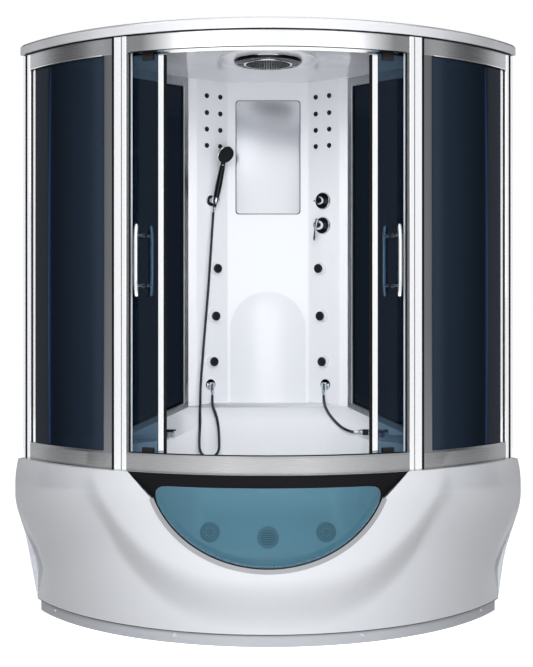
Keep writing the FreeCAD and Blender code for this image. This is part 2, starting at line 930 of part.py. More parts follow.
def handset_axis():
    lean, slant = math.radians(handset_lean), math.radians(handset_slant)
    return V(math.sin(slant), -math.sin(lean), math.cos(lean)).normalize()


def handset_cradle():
    """A cup with a boss whose flat back runs on the end of the holder's arm."""
    half, wide = cradle_height / 2, cradle_bore + cradle_taper
    outside = faceted([(cradle_radius - cradle_taper, -half), (cradle_radius, half)], RING_SIDES)
    bore = faceted([(cradle_bore, -half - overrun), (cradle_bore, 0), (wide, half), (wide, half + overrun)],
                   RING_SIDES)
    start = holder_reach + gap
    boss = faceted([(cradle_boss, start), (cradle_boss, start + cradle_standoff + cradle_radius)], SOME_SIDES)
    cup = placed(outside, handset_pivot(), handset_axis()).fuse(on_facet(boss, -holder_x, holder_z))
    return cup.cut(placed(bore, handset_pivot(), handset_axis()))


def handset():
    half, collar = cradle_height / 2, cradle_bore - 2 * gap
    stem = faceted([(hose_diameter / 2 + cradle_taper, -handset_below), (collar, -half), (collar, 0),
                    (collar + cradle_taper, half), (handset_grip_top, handset_length * handset_waist_share),
                    (handset_grip, handset_length)], SOME_SIDES)
    disc = faceted([(handset_head * handset_waist_share, 0),
                    (handset_head, handset_head_height * handset_waist_share),
                    (handset_head, handset_head_height)], DISC_SIDES)
    tilt = math.radians(handset_head_tilt)
    outward = facet_place(-holder_x, holder_z)[1]
    facing = (outward * math.sin(tilt) - UP * math.cos(tilt)).normalize()
    middle = handset_axis() * (handset_length + handset_head * handset_waist_share)
    centre = handset_pivot() + middle - facing * (handset_head_height / 2)
    return placed(stem, handset_pivot(), handset_axis()).fuse(placed(disc, centre, facing))


def handset_end():
    return handset_pivot() - handset_axis() * (handset_below + hose_swivel)


def hose_tube(points, diameter, label):
    """Straight runs joined by tangent arcs, swept with the hose's section of flat sides."""
    runs = [(b - a).Length for a, b in zip(points, points[1:])]
    edges, start, bends = [], points[0], []
    for index in range(1, len(points) - 1):
        corner = points[index]
        before = (corner - points[index - 1]).normalize()
        after = (points[index + 1] - corner).normalize()
        turn = before.getAngle(after)
        setback = bend_share * min(runs[index - 1], runs[index])
        bends.append(setback / math.tan(turn / 2))
        entry, leave = corner - before * setback, corner + after * setback
        edges.append(Part.makeLine(start, entry))
        edges.append(Part.Arc(entry, arc_middle(entry, leave, corner, bends[-1], turn), leave).toShape())
        start = leave
    edges.append(Part.makeLine(start, points[-1]))
    path = Part.Wire(edges)
    corners = polygon(diameter / 2, 0, FEW_SIDES)
    section = placed(Part.makePolygon(corners + corners[:1]), points[0], (points[1] - points[0]).normalize())
    tube = path.makePipeShell([section], True, False)
    expected = path.Length * FEW_SIDES * (diameter / 2) ** 2 * math.sin(2 * math.pi / FEW_SIDES) / 2
    print(label, "length", round(path.Length), "radii", [round(bend) for bend in bends],
          "volume share", round(tube.Volume / expected, 4))
    return tube


def arc_middle(entry, leave, corner, bend, turn):
    chord = (entry + leave) * 0.5
    towards = (corner - chord).normalize()
    rise = bend * (1 - math.cos(turn / 2))
    return chord + towards * rise


def hose_points(places):
    return [V(x, at(depth), z) for x, depth, z in places]


# Roof

def roof_cover():
    cover = plan_prism(roof_radius, 0, roof_z, unit_height)
    rims = [edge for edge in cover.Edges if edge.BoundBox.ZMin > unit_height - gap]
    cover = cover.makeChamfer(roof_edge, rims)
    pocket = plan_prism(pocket_radius, pocket_inset, roof_z - overrun, cabin_ceiling_z)
    low = plan_wire(cove_radius, cove_inset, cabin_ceiling_z, cove_rear_depth)
    high = plan_wire(recess_radius, recess_inset, recess_z, recess_rear_depth)
    return cover.cut(pocket).cut(Part.makeLoft([low, high], True, True))


def rain_head():
    """Ceiling ring, body and face, one below the other."""
    face = rain_height + rain_face_height
    steps = (((rain_ring_radius, 0), (rain_ring_radius - rain_ring_height, rain_ring_height)),
             ((rain_radius, 0), (rain_radius - rain_face_height, rain_height)),
             ((rain_face_radius, 0), (rain_face_radius - rain_face_height, face)))
    head = fuse_all([faceted(step, LARGE_SIDES) for step in steps])
    return placed(head, V(0, at(rain_depth), recess_z), -UP)


# Shelf on the rear wall glass

def on_wall_glass(shape):
    """Local X along the wall glass away from the column, local -Y into the cabin."""
    inset = wall_glass_inset + glass_thickness / 2 + gap
    sum_line = corner_depth - inset * root_two
    moved = shape.copy()
    moved.rotate(ORIGIN, UP, -EIGHTH_TURN)
    moved.translate(V(shelf_near_x, at(sum_line - shelf_near_x), 0))
    return mirrored(moved)


def shelf_plate(z, offsets):
    length = (shelf_far_x - shelf_near_x) * root_two
    ends = [V(length, 0, z), V(length, -shelf_reach + shelf_corner, z), V(length, -shelf_reach, z),
            V(length - shelf_corner, -shelf_reach, z)]
    half = ends[:1] + bent_corner(*ends[1:])
    plate = flat_prism(half + [V(length - point.x, point.y, z) for point in reversed(half)], UP * shelf_thickness)
    bore = faceted([(shelf_rod_radius + 2 * gap, -overrun), (shelf_rod_radius + 2 * gap, 2 * shelf_thickness)],
                   FEW_SIDES)
    for offset in offsets:
        plate = plate.cut(placed(bore, V(offset, -shelf_rod_inset, z), UP))
    return on_wall_glass(plate)


def shelf_rod(offset):
    low, high = shelf_zs[0] - shelf_rod_overhang, shelf_zs[1] + shelf_thickness + shelf_rod_overhang
    rod = faceted([(shelf_rod_radius, low), (shelf_rod_radius, high)], FEW_SIDES)
    rod.translate(V(offset, -shelf_rod_inset, 0))
    stay = faceted([(shelf_stay_radius, 0), (shelf_stay_radius, shelf_rod_inset)], FEW_SIDES)
    stays = [placed(stay, V(offset, -shelf_rod_inset, z - shelf_stay_radius - gap), BACK) for z in shelf_zs]
    return on_wall_glass(fuse_all([rod] + stays))


def shelves():
    length = (shelf_far_x - shelf_near_x) * root_two
    offsets = (shelf_corner, length - shelf_corner)
    return [shelf_plate(z, offsets) for z in shelf_zs], [shelf_rod(offset) for offset in offsets]


# Doors

def door_glass():
    half = glass_thickness / 2
    grip = math.degrees((stile_width - stile_depth / 2) / door_radius)
    trail = math.degrees((trail_width - stile_depth / 2) / door_radius)
    return band(door_radius - half, door_radius + half, door_glass_z, door_glass_top_z,
                door_lead_angle + grip, door_trail_angle - trail)


def handle_feet():
    return (handle_z + handle_foot_inset, handle_z + handle_length - handle_foot_inset)


def outward_at(angle):
    return (polar(arc_radius, angle) - polar(0, angle)).normalize()


def radial_rod(radius, start, length, z, angle, sides=SOME_SIDES):
    return placed(faceted([(radius, 0), (radius, length)], sides), polar(start, angle, z), outward_at(angle))


def door_stile(start, width, direction):
    """A stile from its free edge, slotted on the glass side; the direction points from the edge to the glass."""
    half, slot = stile_depth / 2, glass_thickness / 2 + gap
    low, high = door_glass_z - overrun, door_glass_top_z - 2 * rail_wall
    other = start + direction * math.degrees(width / door_radius)
    inner = start + direction * math.degrees((width - half - gap) / door_radius)
    beyond = other + direction * math.degrees(overrun / door_radius)
    stile = band(door_radius - half, door_radius + half, low, high, *sorted((start, other)))
    groove = band(door_radius - slot, door_radius + slot, low - overrun, high + overrun, *sorted((inner, beyond)))
    return stile.cut(groove)


def door_stiles():
    return [door_stile(door_lead_angle, stile_width, 1), door_stile(door_trail_angle, trail_width, -1)]


def hanger(angle):
    turn = math.degrees(hanger_width / 2 / door_radius)
    half, slot, tongue = hanger_thickness / 2, glass_thickness / 2 + gap, hanger_tongue / 2
    low, top = door_glass_top_z - hanger_grip, door_glass_top_z + hanger_tongue + gap
    clamp = band(door_radius - half, door_radius + half, low, top, angle - turn, angle + turn)
    slit = band(door_radius - slot, door_radius + slot, low - overrun, door_glass_top_z + gap,
                angle - 2 * turn, angle + 2 * turn)
    plate = band(door_radius - tongue, door_radius + tongue, top, top + hanger_tongue_height,
                 angle - turn, angle + turn)
    inner = roller_front() - roller_width - 2 * gap
    axle = radial_rod(axle_radius, inner, door_radius - inner, roller_z(), angle)
    return fuse_all([clamp.cut(slit), plate, axle])


def guide(angle):
    turn = math.degrees(hanger_width / 2 / door_radius)
    half, slot = hanger_thickness / 2, glass_thickness / 2 + gap
    low = door_glass_z - guide_drop
    block = band(door_radius - half, door_radius + half, low, low + guide_height, angle - turn, angle + turn)
    slit = band(door_radius - slot, door_radius + slot, door_glass_z - gap, low + guide_height + overrun,
                angle - 2 * turn, angle + 2 * turn)
    return block.cut(slit)


def roller_front():
    return door_radius - hanger_tongue / 2 - gap


def roller_z():
    return header_z + track_height + track_thickness + gap + roller_radius


def roller(angle):
    """The tread's flats and the bore's flats lie outside the true circles' clearances."""
    start = roller_front() - roller_width
    bore = (axle_radius + shaft_clearance) / math.cos(math.pi / RING_SIDES)
    wheel = radial_rod(roller_radius, start, roller_width, roller_z(), angle, WHEEL_SIDES)
    return wheel.cut(radial_rod(bore, start - overrun, roller_width + 2 * overrun, roller_z(), angle, RING_SIDES))


def door_handle():
    """A slightly bowed bar on each side of the glass, on two feet that are bolted to it."""
    bars = []
    for side in SIDES:
        straight, face = door_radius + side * handle_standoff, door_radius + side * (glass_thickness / 2 + gap)
        bowed = straight + side * handle_bow
        stops = ((straight, 0), (bowed, handle_foot_inset), (bowed, handle_length - handle_foot_inset),
                 (straight, handle_length))
        bar = mitred_pipe([polar(radius, handle_angle, handle_z + rise) for radius, rise in stops],
                          2 * handle_radius, FEW_SIDES)
        feet = [radial_rod(handle_foot_radius, min(face, bowed), abs(bowed - face), z, handle_angle, FEW_SIDES)
                for z in handle_feet()]
        bars.append(fuse_all([bar] + feet))
    return bars


# Jet fittings in the basin

def on_basin_wall(shape, x, z):
    origin, outward = basin_rear_place(x, z)
    return placed(shape, origin, outward)


def tub_jet_flange(x):
    flange = faceted([(jet_flange_radius, 0), (jet_flange_radius - jet_flange_height, jet_flange_height)], DISC_SIDES)
    sleeve = faceted([(jet_bore - gap, -shell), (jet_bore - gap, jet_flange_height / 2)], DISC_SIDES)
    bore = faceted([(jet_nozzle + 2 * gap, -2 * shell), (jet_nozzle + 2 * gap, 2 * shell)], DISC_SIDES)
    return on_basin_wall(flange.fuse(sleeve).cut(bore), x, jet_z)


def jet_nozzle_piece(x):
    nozzle = faceted([(jet_nozzle, -shell), (jet_nozzle, jet_flange_height), (jet_nozzle / 2, jet_nozzle_height)],
                     RING_SIDES)
    port = faceted([(jet_nozzle / 4, 0), (jet_nozzle / 4, 2 * jet_nozzle_height)], FEW_SIDES)
    port.translate(V(0, jet_nozzle / 4, 0))
    return on_basin_wall(nozzle.cut(port), x, jet_z)


def suction_cover():
    cover = faceted([(suction_radius, 0), (suction_radius, suction_height / 2),
                     (suction_radius - suction_height / 2, suction_height)], DISC_SIDES)
    return on_basin_wall(cover, 0, suction_z)


def waste_flange():
    throat = waste_bore - gap
    flange = faceted([(waste_radius, 0), (waste_radius, waste_height)], DISC_SIDES)
    sleeve = faceted([(throat, -shell), (throat, waste_height / 2)], DISC_SIDES)
    bore = faceted([(throat - waste_height, -2 * shell), (throat - waste_height, 2 * waste_height)], DISC_SIDES)
    flange = flange.fuse(sleeve).cut(bore)
    flange.translate(V(0, at(waste_depth), basin_floor_z))
    return flange


def waste_plug():
    seat = waste_height + gap
    disc = faceted([(plug_radius, seat), (plug_radius, seat + plug_thickness)], DISC_SIDES)
    stem = faceted([(plug_stem, seat - plug_stem_length), (plug_stem, seat + plug_thickness / 2)], FEW_SIDES)
    plug = disc.fuse(stem)
    plug.translate(V(0, at(waste_depth), basin_floor_z))
    return plug


# Deck fittings

def deck_height(depth):
    share = (depth - deck_bend_depth) / (ledge_bend_depth - deck_bend_depth)
    return deck_z + (ledge_z - deck_z) * share


def air_top():
    return deck_height(air_depth) + air_base_height


def deck_fittings():
    """The air control's base and the bath hose's fitting, each cut to the sloping deck."""
    base = faceted([(air_base, deck_z), (air_base, air_top())], RING_SIDES)
    base.translate(V(-air_x, at(air_depth), 0))
    body = faceted([(filler_radius, 0), (filler_radius, filler_length)], SOME_SIDES)
    body = placed(body, V(filler_x, at(filler_depth), filler_z), SIDE)
    foot = faceted([(filler_foot, deck_z), (filler_foot, filler_z)], RING_SIDES)
    foot.translate(V(filler_x + filler_length - filler_foot, at(filler_depth), 0))
    return [base.cut(deck_prism(0)), body.fuse(foot.cut(deck_prism(0)))]


def air_knob_piece():
    low = air_top() + gap
    knob = faceted([(air_knob, 0), (air_knob - air_knob_height / 4, air_knob_height)], RING_SIDES)
    pointer = Part.makeBox(air_knob + air_knob_height / 2, air_knob / 4, air_knob_height / 2, V(0, -air_knob / 8, 0))
    knob = knob.fuse(pointer)
    knob.translate(V(-air_x, at(air_depth), low))
    return knob


# Under the tub

def beam_box(x0, depth0, x1, depth1):
    start, end = V(x0, at(depth0), 0), V(x1, at(depth1), 0)
    length = (end - start).Length
    low = basin_floor_z - shell - beam
    outside = Part.makeBox(length, beam, beam, V(0, -beam / 2, 0))
    turn = math.degrees(math.atan2(end.y - start.y, end.x - start.x))
    outside.rotate(ORIGIN, UP, turn)
    outside.translate(start + UP * low)
    return outside


def beam_runs():
    runs = [(-front_beam_x, front_beam_depth, front_beam_x, front_beam_depth),
            (-middle_beam_x, middle_beam_depth, middle_beam_x, middle_beam_depth),
            (-rear_beam_x - beam / 2, rear_beam_depth, rear_beam_x + beam / 2, rear_beam_depth)]
    return runs + [(side * long_beam_x, long_beam_front_depth, side * long_beam_x, rear_beam_depth) for side in SIDES]


def support_frame():
    return fuse_all([beam_box(*run) for run in beam_runs()])


def levelling_feet():
    places = [(side * x, depth) for side in SIDES for x, depth in
              ((front_beam_x - foot_radius, front_beam_depth), (middle_beam_x - foot_radius, middle_beam_depth),
               (rear_beam_x, rear_beam_depth), (long_beam_x, long_beam_front_depth + foot_radius))]
    pad = faceted([(foot_radius, 0), (foot_radius, foot_height)], SOME_SIDES)
    rod = faceted([(foot_rod, foot_height / 2), (foot_rod, basin_floor_z - shell - beam)], FEW_SIDES)
    foot = pad.fuse(rod)
    return [placed(foot, V(x, at(depth), 0), UP) for x, depth in places]


def pump_frame(along_offset):
    along = V(UNIT, -UNIT, 0).normalize()
    return V(pump_x, at(pump_depth), pump_z) + along * along_offset, along


def circulation_pump():
    start, along = pump_frame(-pump_length / 2)
    motor = faceted([(pump_radius, 0), (pump_radius, pump_length)], DISC_SIDES)
    head = faceted([(pump_head, 0), (pump_head, -pump_head_length)], DISC_SIDES)
    foot = Part.makeBox(pump_length, pump_radius, pump_z, V(0, -pump_radius / 2, 0))
    foot.rotate(ORIGIN, UP, -EIGHTH_TURN)
    foot.translate(V(start.x, start.y, 0))
    return fuse_all([placed(motor, start, along), placed(head, start, along), foot])


def suction_line():
    inlet, along = pump_frame(-pump_length / 2 - pump_head_length - gap)
    origin, outward = basin_rear_place(0, suction_z)
    start = origin - outward * (shell + gap)
    bend = start - outward * (2 * suction_pipe + jet_pipe)
    points = [start, bend, V(long_beam_x + 2 * suction_pipe, bend.y, bend.z),
              inlet - along * (2 * suction_pipe), inlet]
    return mitred_pipe(points, suction_pipe, FEW_SIDES)


def jet_manifold():
    """The pressure pipe behind both jets and down to the top of the pump's head."""
    tails = []
    for side in SIDES:
        origin, outward = basin_rear_place(side * jet_x, jet_z)
        bend = origin - outward * (shell + gap + jet_tail)
        tails.append(mitred_pipe([origin - outward * (shell + gap), bend, V(bend.x, bend.y, manifold_z)],
                                 jet_pipe, FEW_SIDES))
    head = pump_frame(-pump_length / 2 - jet_pipe / 2)[0]
    reach = jet_x + 4 * jet_pipe
    points = [V(-jet_x - jet_pipe, bend.y, manifold_z), V(reach, bend.y, manifold_z),
              V(head.x, head.y, manifold_z), head + UP * (pump_head + gap)]
    return fuse_all(tails + [mitred_pipe(points, jet_pipe, FEW_SIDES)])


def waste_trap():
    low = basin_floor_z - shell - beam - trap_height
    high = basin_floor_z - shell
    trap = faceted([(trap_radius, low), (trap_radius, high)], SOME_SIDES)
    bore = faceted([(trap_bore, high - trap_bore_depth), (trap_bore, high + overrun)], SOME_SIDES)
    length = rear_depth - waste_depth - rear_chamfer_half
    outlet = faceted([(suction_pipe / 2, 0), (suction_pipe / 2, length)], FEW_SIDES)
    trap = trap.fuse(placed(outlet, V(0, 0, low + suction_pipe / 2), BACK)).cut(bore)
    trap.translate(V(0, at(waste_depth), 0))
    return trap


def pipework():
    return [suction_line(), jet_manifold(), waste_trap()]


# Hose routes

shower_hose_places = (
    (-240.0, 1048.0, 1562.0), (-243.0, 1042.0, 1512.0), (-247.0, 1034.0, 1445.0), (-252.0, 1028.0, 1360.0),
    (-260.0, 1021.0, 1240.0), (-271.0, 1015.0, 1110.0), (-281.0, 1011.0, 980.0), (-288.0, 1008.0, 888.0),
    (-292.0, 1001.0, 820.0), (-291.5, 985.0, 768.0), (-290.5, 950.0, 739.0), (-288.0, 905.0, 720.0),
    (-285.0, 862.0, 710.0), (-283.5, 828.0, 690.0), (-286.0, 815.0, 634.0), (-285.0, 812.0, 582.0),
    (-261.0, 811.0, 558.0), (-227.0, 811.0, 558.0), (-203.0, 812.0, 582.0), (-203.0, 816.0, 632.0),
    (-207.0, 832.0, 684.0), (-214.0, 866.0, 714.0), (-222.0, 912.0, 730.0), (-232.0, 962.0, 744.0),
    (-240.0, 1008.0, 757.0), (-242.6, 1040.0, 770.0))
bath_hose_places = (
    (242.8, 1040.0, 770.0), (245.0, 1008.0, 757.0), (251.0, 962.0, 741.0), (263.0, 915.0, 722.0),
    (281.0, 868.0, 702.0), (303.0, 823.0, 683.0), (326.0, 790.0, 673.0))


def shower_hose():
    start, tip = handset_end(), elbow_tip(-elbow_x)
    points = [start, start - handset_axis() * hose_lead] + hose_points(shower_hose_places)
    return hose_tube(points + [tip - UP * hose_lead, tip], hose_diameter, "shower hose")


def bath_hose():
    tip, end = elbow_tip(elbow_x), V(filler_x, at(filler_depth), filler_z)
    points = [tip, tip - UP * hose_lead] + hose_points(bath_hose_places) + [end - SIDE * hose_lead, end]
    return hose_tube(points, bath_hose_diameter, "bath hose")


def main():
    os.makedirs("parts", exist_ok=True)
    save("tub_shell", tub_shell())
    apron, trim = apron_parts()
    save("tub_apron", apron)
    save("window_trim", trim)
    pane, black = window_parts()
    save("window_pane", pane)
    save("window_band", black)
    save("base_strip", base_strip())
    save("support_frame", support_frame())
    save("levelling_feet", *levelling_feet())
    save("circulation_pump", circulation_pump())
    save("pipework", *pipework())
    save("basin_fittings", waste_flange(), suction_cover(), *[tub_jet_flange(side * jet_x) for side in SIDES])
    save("waste_plug", waste_plug())
    save("tub_jet_left", jet_nozzle_piece(-jet_x))
    save("tub_jet_right", jet_nozzle_piece(jet_x))

    save("bottom_rail", bottom_rail())
    save("header_rail", header_rail())
    save("roof_gasket", roof_gasket())
    save_on_side(-1, "front_post_left", front_post())
    save("front_post_right", front_post())
    profile = wall_profile()
    save("wall_profiles", mirrored(profile), profile)
    save_on_side(-1, "fixed_glass_left", fixed_glass())
    save("fixed_glass_right", fixed_glass())
    frame, glass = wall_panel()
    save("wall_frames", mirrored(frame), frame)
    save("wall_glass", mirrored(glass), glass)

    save("column_panel", column_panel())
    save("mirror", mirror_plate())
    save("micro_jets", *micro_jets())
    save("jet_collars", *jet_collars())
    save("wall_fittings", *wall_fittings())
    for side, word in zip(SIDES, ("left", "right")):
        for (x, z), level in zip(body_jet_places, ("low", "middle", "high")):
            save("body_jet_" + word + "_" + level, body_nozzle(side * x, z))
    save("diverter_knob", diverter_knob())
    save("mixer_lever", mixer_lever())
    save("handset_cradle", handset_cradle())
    save("handset", handset())
    save("shower_hose", shower_hose())
    save("bath_hose", bath_hose())

    save("roof_cover", roof_cover())
    save("rain_head", rain_head())
    plates, rods = shelves()
    save("glass_shelves", *plates)
    save("shelf_rods", *rods)
    save("deck_fittings", *deck_fittings())
    save("air_control_knob", air_knob_piece())

    frame = door_stiles() + [hanger(angle) for angle in hanger_angles] + [guide(angle) for angle in hanger_angles]
    for side, word in zip(SIDES, ("left", "right")):
        save_on_side(side, "door_" + word + "_glass", door_glass())
        save_on_side(side, "door_" + word + "_frame", *frame)
        save_on_side(side, "door_" + word + "_handle", *door_handle())
        for angle, place in zip(hanger_angles, ("front", "rear")):
            save_on_side(side, "roller_" + word + "_" + place, roller(angle))


main()
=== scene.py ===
"""Looks of a corner shower enclosure over a jetted tub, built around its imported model.

Metres, +Z up, front towards -Y, X across, origin on the floor under the middle of the box.
"""

import json
import logging
import math
from dataclasses import dataclass, field
from enum import Enum
from typing import Callable, Iterable, Optional, Sequence, Union

import bmesh
import bpy
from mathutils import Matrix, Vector

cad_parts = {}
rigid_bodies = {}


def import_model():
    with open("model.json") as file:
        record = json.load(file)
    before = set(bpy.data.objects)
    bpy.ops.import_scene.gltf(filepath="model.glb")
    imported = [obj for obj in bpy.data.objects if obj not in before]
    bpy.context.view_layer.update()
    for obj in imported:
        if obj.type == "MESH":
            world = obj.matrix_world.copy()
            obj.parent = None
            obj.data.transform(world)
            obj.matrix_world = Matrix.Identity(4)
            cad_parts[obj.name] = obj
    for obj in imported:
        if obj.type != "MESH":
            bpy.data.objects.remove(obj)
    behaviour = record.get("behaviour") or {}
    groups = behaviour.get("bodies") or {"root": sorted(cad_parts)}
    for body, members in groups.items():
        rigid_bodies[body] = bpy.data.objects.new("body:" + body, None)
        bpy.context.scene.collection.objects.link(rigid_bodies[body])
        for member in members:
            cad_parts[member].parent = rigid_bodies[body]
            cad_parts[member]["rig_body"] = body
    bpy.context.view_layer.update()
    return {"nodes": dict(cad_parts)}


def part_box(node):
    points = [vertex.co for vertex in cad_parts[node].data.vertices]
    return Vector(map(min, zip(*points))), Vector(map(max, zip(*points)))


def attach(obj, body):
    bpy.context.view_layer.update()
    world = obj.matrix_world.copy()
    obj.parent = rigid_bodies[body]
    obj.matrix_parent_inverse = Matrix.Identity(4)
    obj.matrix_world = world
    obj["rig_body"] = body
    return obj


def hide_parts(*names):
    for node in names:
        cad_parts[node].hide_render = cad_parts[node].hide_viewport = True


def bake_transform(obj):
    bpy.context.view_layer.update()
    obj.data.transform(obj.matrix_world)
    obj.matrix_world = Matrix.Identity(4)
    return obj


LOG = logging.getLogger("scene")

ROOT_TWO = math.sqrt(2.0)
FRONT_Y = -0.663721
ARC_Y = 0.536279
ARC_RADIUS = 1.2
CORNER_DEPTH = 1.427442
COLUMN_FLAT = (0.179, 1.121)
COLUMN_FOLD = (0.308, 1.030)
COLUMN_EDGE = (0.351, 1.019)
BASIN_DEPTH, BASIN_LOW = 0.779, 0.15
BASIN_LEAN, BASIN_RISE = 0.143, 0.65
POINT_RADIUS = 1e-5
UP = Vector((0.0, 0.0, 1.0))
SIDES = ((-1, "left"), (1, "right"))

Profile = Sequence[tuple[float, float]]


def polar(radius: float, degrees: float, z: float = 0.0) -> Vector:
    """A point at a radius and angle about the middle of the front arc; angle 0 faces the front."""
    turn = math.radians(degrees)
    return Vector((radius * math.sin(turn), ARC_Y - radius * math.cos(turn), z))


def outward(degrees: float) -> Vector:
    """The horizontal direction away from the arc's middle at an angle."""
    turn = math.radians(degrees)
    return Vector((math.sin(turn), -math.cos(turn), 0.0))


def wall_angle(radius: float, inset: float = 0.0) -> float:
    """The angle where a circle about the arc's middle meets a line inside the room wall."""
    reach = CORNER_DEPTH - inset * ROOT_TWO - ARC_RADIUS
    x = (reach + math.sqrt(2 * radius**2 - reach**2)) / 2
    return math.degrees(math.asin(x / radius))


def facet(x: float, z: float) -> tuple[Vector, Vector]:
    """The point of a column facet at this X and height, and the facet's outward direction."""
    side = 1 if x > 0 else -1
    run, fall = COLUMN_FOLD[0] - COLUMN_FLAT[0], COLUMN_FLAT[1] - COLUMN_FOLD[1]
    depth = COLUMN_FOLD[1] + fall * (COLUMN_FOLD[0] - abs(x)) / run
    return Vector((x, FRONT_Y + depth, z)), Vector((-side * fall, -run, 0.0)).normalized()


def basin_wall(x: float, z: float) -> tuple[Vector, Vector]:
    """A point of the basin's rear wall and the wall's direction into the water."""
    lean = math.atan2(BASIN_LEAN, BASIN_RISE)
    depth = BASIN_DEPTH + BASIN_LEAN * (z - BASIN_LOW) / BASIN_RISE
    return Vector((x, FRONT_Y + depth, z)), Vector((0.0, -math.cos(lean), math.sin(lean)))


def ring_spots(centre: Vector, facing: Vector, radius: float, count: int) -> list[Vector]:
    """Evenly spaced points round a direction."""
    along, across, _ = frame_of(facing)
    turns = [2 * math.pi * i / count for i in range(count)]
    return [centre + (along * math.cos(turn) + across * math.sin(turn)) * radius for turn in turns]


# ---------------------------------------------------------------- finishes


class Graph:
    """A node tree under construction."""

    def __init__(self, tree: bpy.types.NodeTree) -> None:
        """Keeps the tree that takes the nodes."""
        self.tree = tree

    def add(self, kind: str, inputs: Optional[dict[Union[str, int], object]] = None,
            **values: object) -> bpy.types.Node:
        """Adds a node.

        Args:
            kind: its type.
            inputs: for each input, the value that it takes or the socket that it is joined to.
            values: its properties.

        Returns:
            The node.
        """
        node = self.tree.nodes.new(kind)
        for key, value in values.items():
            setattr(node, key, value)
        for key, value in (inputs or {}).items():
            if isinstance(value, bpy.types.NodeSocket):
                self.tree.links.new(value, node.inputs[key])
            else:
                node.inputs[key].default_value = value
        return node

    def sum(self, operation: str, first: bpy.types.NodeSocket,
            second: Union[bpy.types.NodeSocket, float] = 0.5) -> bpy.types.NodeSocket:
        """The result of an operation on a value and, where it takes two, a second value or number."""
        return self.add("ShaderNodeMath", {0: first, 1: second}, operation=operation).outputs["Value"]

    def layer(self, share: bpy.types.NodeSocket, first: bpy.types.NodeSocket,
              second: bpy.types.NodeSocket) -> bpy.types.NodeSocket:
        """Mixes two shaders by a share."""
        return self.add("ShaderNodeMixShader", {0: share, 1: first, 2: second}).outputs["Shader"]

    def parts(self, kind: str) -> bpy.types.bpy_prop_collection:
        """The X, Y and Z sockets of a kind of coordinates."""
        place = self.add("ShaderNodeTexCoord").outputs[kind]
        return self.add("ShaderNodeSeparateXYZ", {"Vector": place}).outputs


class Nodes(Graph):
    """One material's node tree."""

    def __init__(self, name: str) -> None:
        """Makes the material with an empty tree."""
        self.material = bpy.data.materials.new(name)
        self.material.use_nodes = True
        super().__init__(self.material.node_tree)
        self.tree.nodes.clear()

    def noise(self, scale: Sequence[float], detail: float = 3.0) -> bpy.types.NodeSocket:
        """Noise from 0 to 1 at a scale on each axis."""
        place = self.add("ShaderNodeTexCoord").outputs["Object"]
        stretched = self.add("ShaderNodeMapping", {"Scale": scale, "Vector": place}).outputs["Vector"]
        node = self.add("ShaderNodeTexNoise", {"Scale": 1.0, "Detail": detail, "Vector": stretched})
        return node.outputs["Fac"]

    def spread(self, value: bpy.types.NodeSocket, low: float, high: float) -> bpy.types.NodeSocket:
        """Maps 0 to 1 onto a range."""
        node = self.add("ShaderNodeMapRange", {"To Min": low, "To Max": high, "Value": value})
        return node.outputs["Result"]

    def blend(self, value: bpy.types.NodeSocket, first: Sequence[float],
              second: Sequence[float]) -> bpy.types.NodeSocket:
        """Mixes two colours by a value."""
        inputs = {"A": (*first, 1.0), "B": (*second, 1.0), "Factor": value}
        return self.add("ShaderNodeMix", inputs, data_type="RGBA").outputs["Result"]

    def bump(self, value: bpy.types.NodeSocket, strength: float, distance: float) -> bpy.types.NodeSocket:
        """A bump normal from a value."""
        node = self.add("ShaderNodeBump", {"Strength": strength, "Distance": distance, "Height": value})
        return node.outputs["Normal"]

    def end(self, surface: bpy.types.NodeSocket) -> bpy.types.Material:
        """Shows a shader on the surface and gives the finished material."""
        self.add("ShaderNodeOutputMaterial", {"Surface": surface})
        return self.material


@dataclass(frozen=True)
class Solid:
    """An opaque finish: a slightly varied colour, roughness and bump on one shader."""

    name: str
    colour: tuple[float, float, float]
    shade: tuple[float, float, float]
    roughness: tuple[float, float]
    metallic: float = 0.0
    grain: tuple[float, float, float] = (6.0, 6.0, 6.0)
    bump: float = 0.05
    bump_depth: float = 0.0004
    coat: float = 0.0
    specular: float = 0.5
    coat_roughness: float = 0.04
    wide_grain: tuple[float, float, float] = (2.0, 2.0, 2.0)

    def build(self) -> bpy.types.Material:
        """Makes the material."""
        nodes = Nodes(self.name)
        wide, fine = nodes.noise(self.wide_grain, 2.0), nodes.noise(self.grain)
        shader = nodes.add("ShaderNodeBsdfPrincipled", {
            "Base Color": nodes.blend(wide, self.colour, self.shade),
            "Roughness": nodes.spread(fine, *self.roughness),
            "Normal": nodes.bump(fine, self.bump, self.bump_depth),
            "Metallic": self.metallic,
            "Coat Weight": self.coat,
            "Coat Roughness": self.coat_roughness,
            "Specular IOR Level": self.specular,
        })
        return nodes.end(shader.outputs["BSDF"])


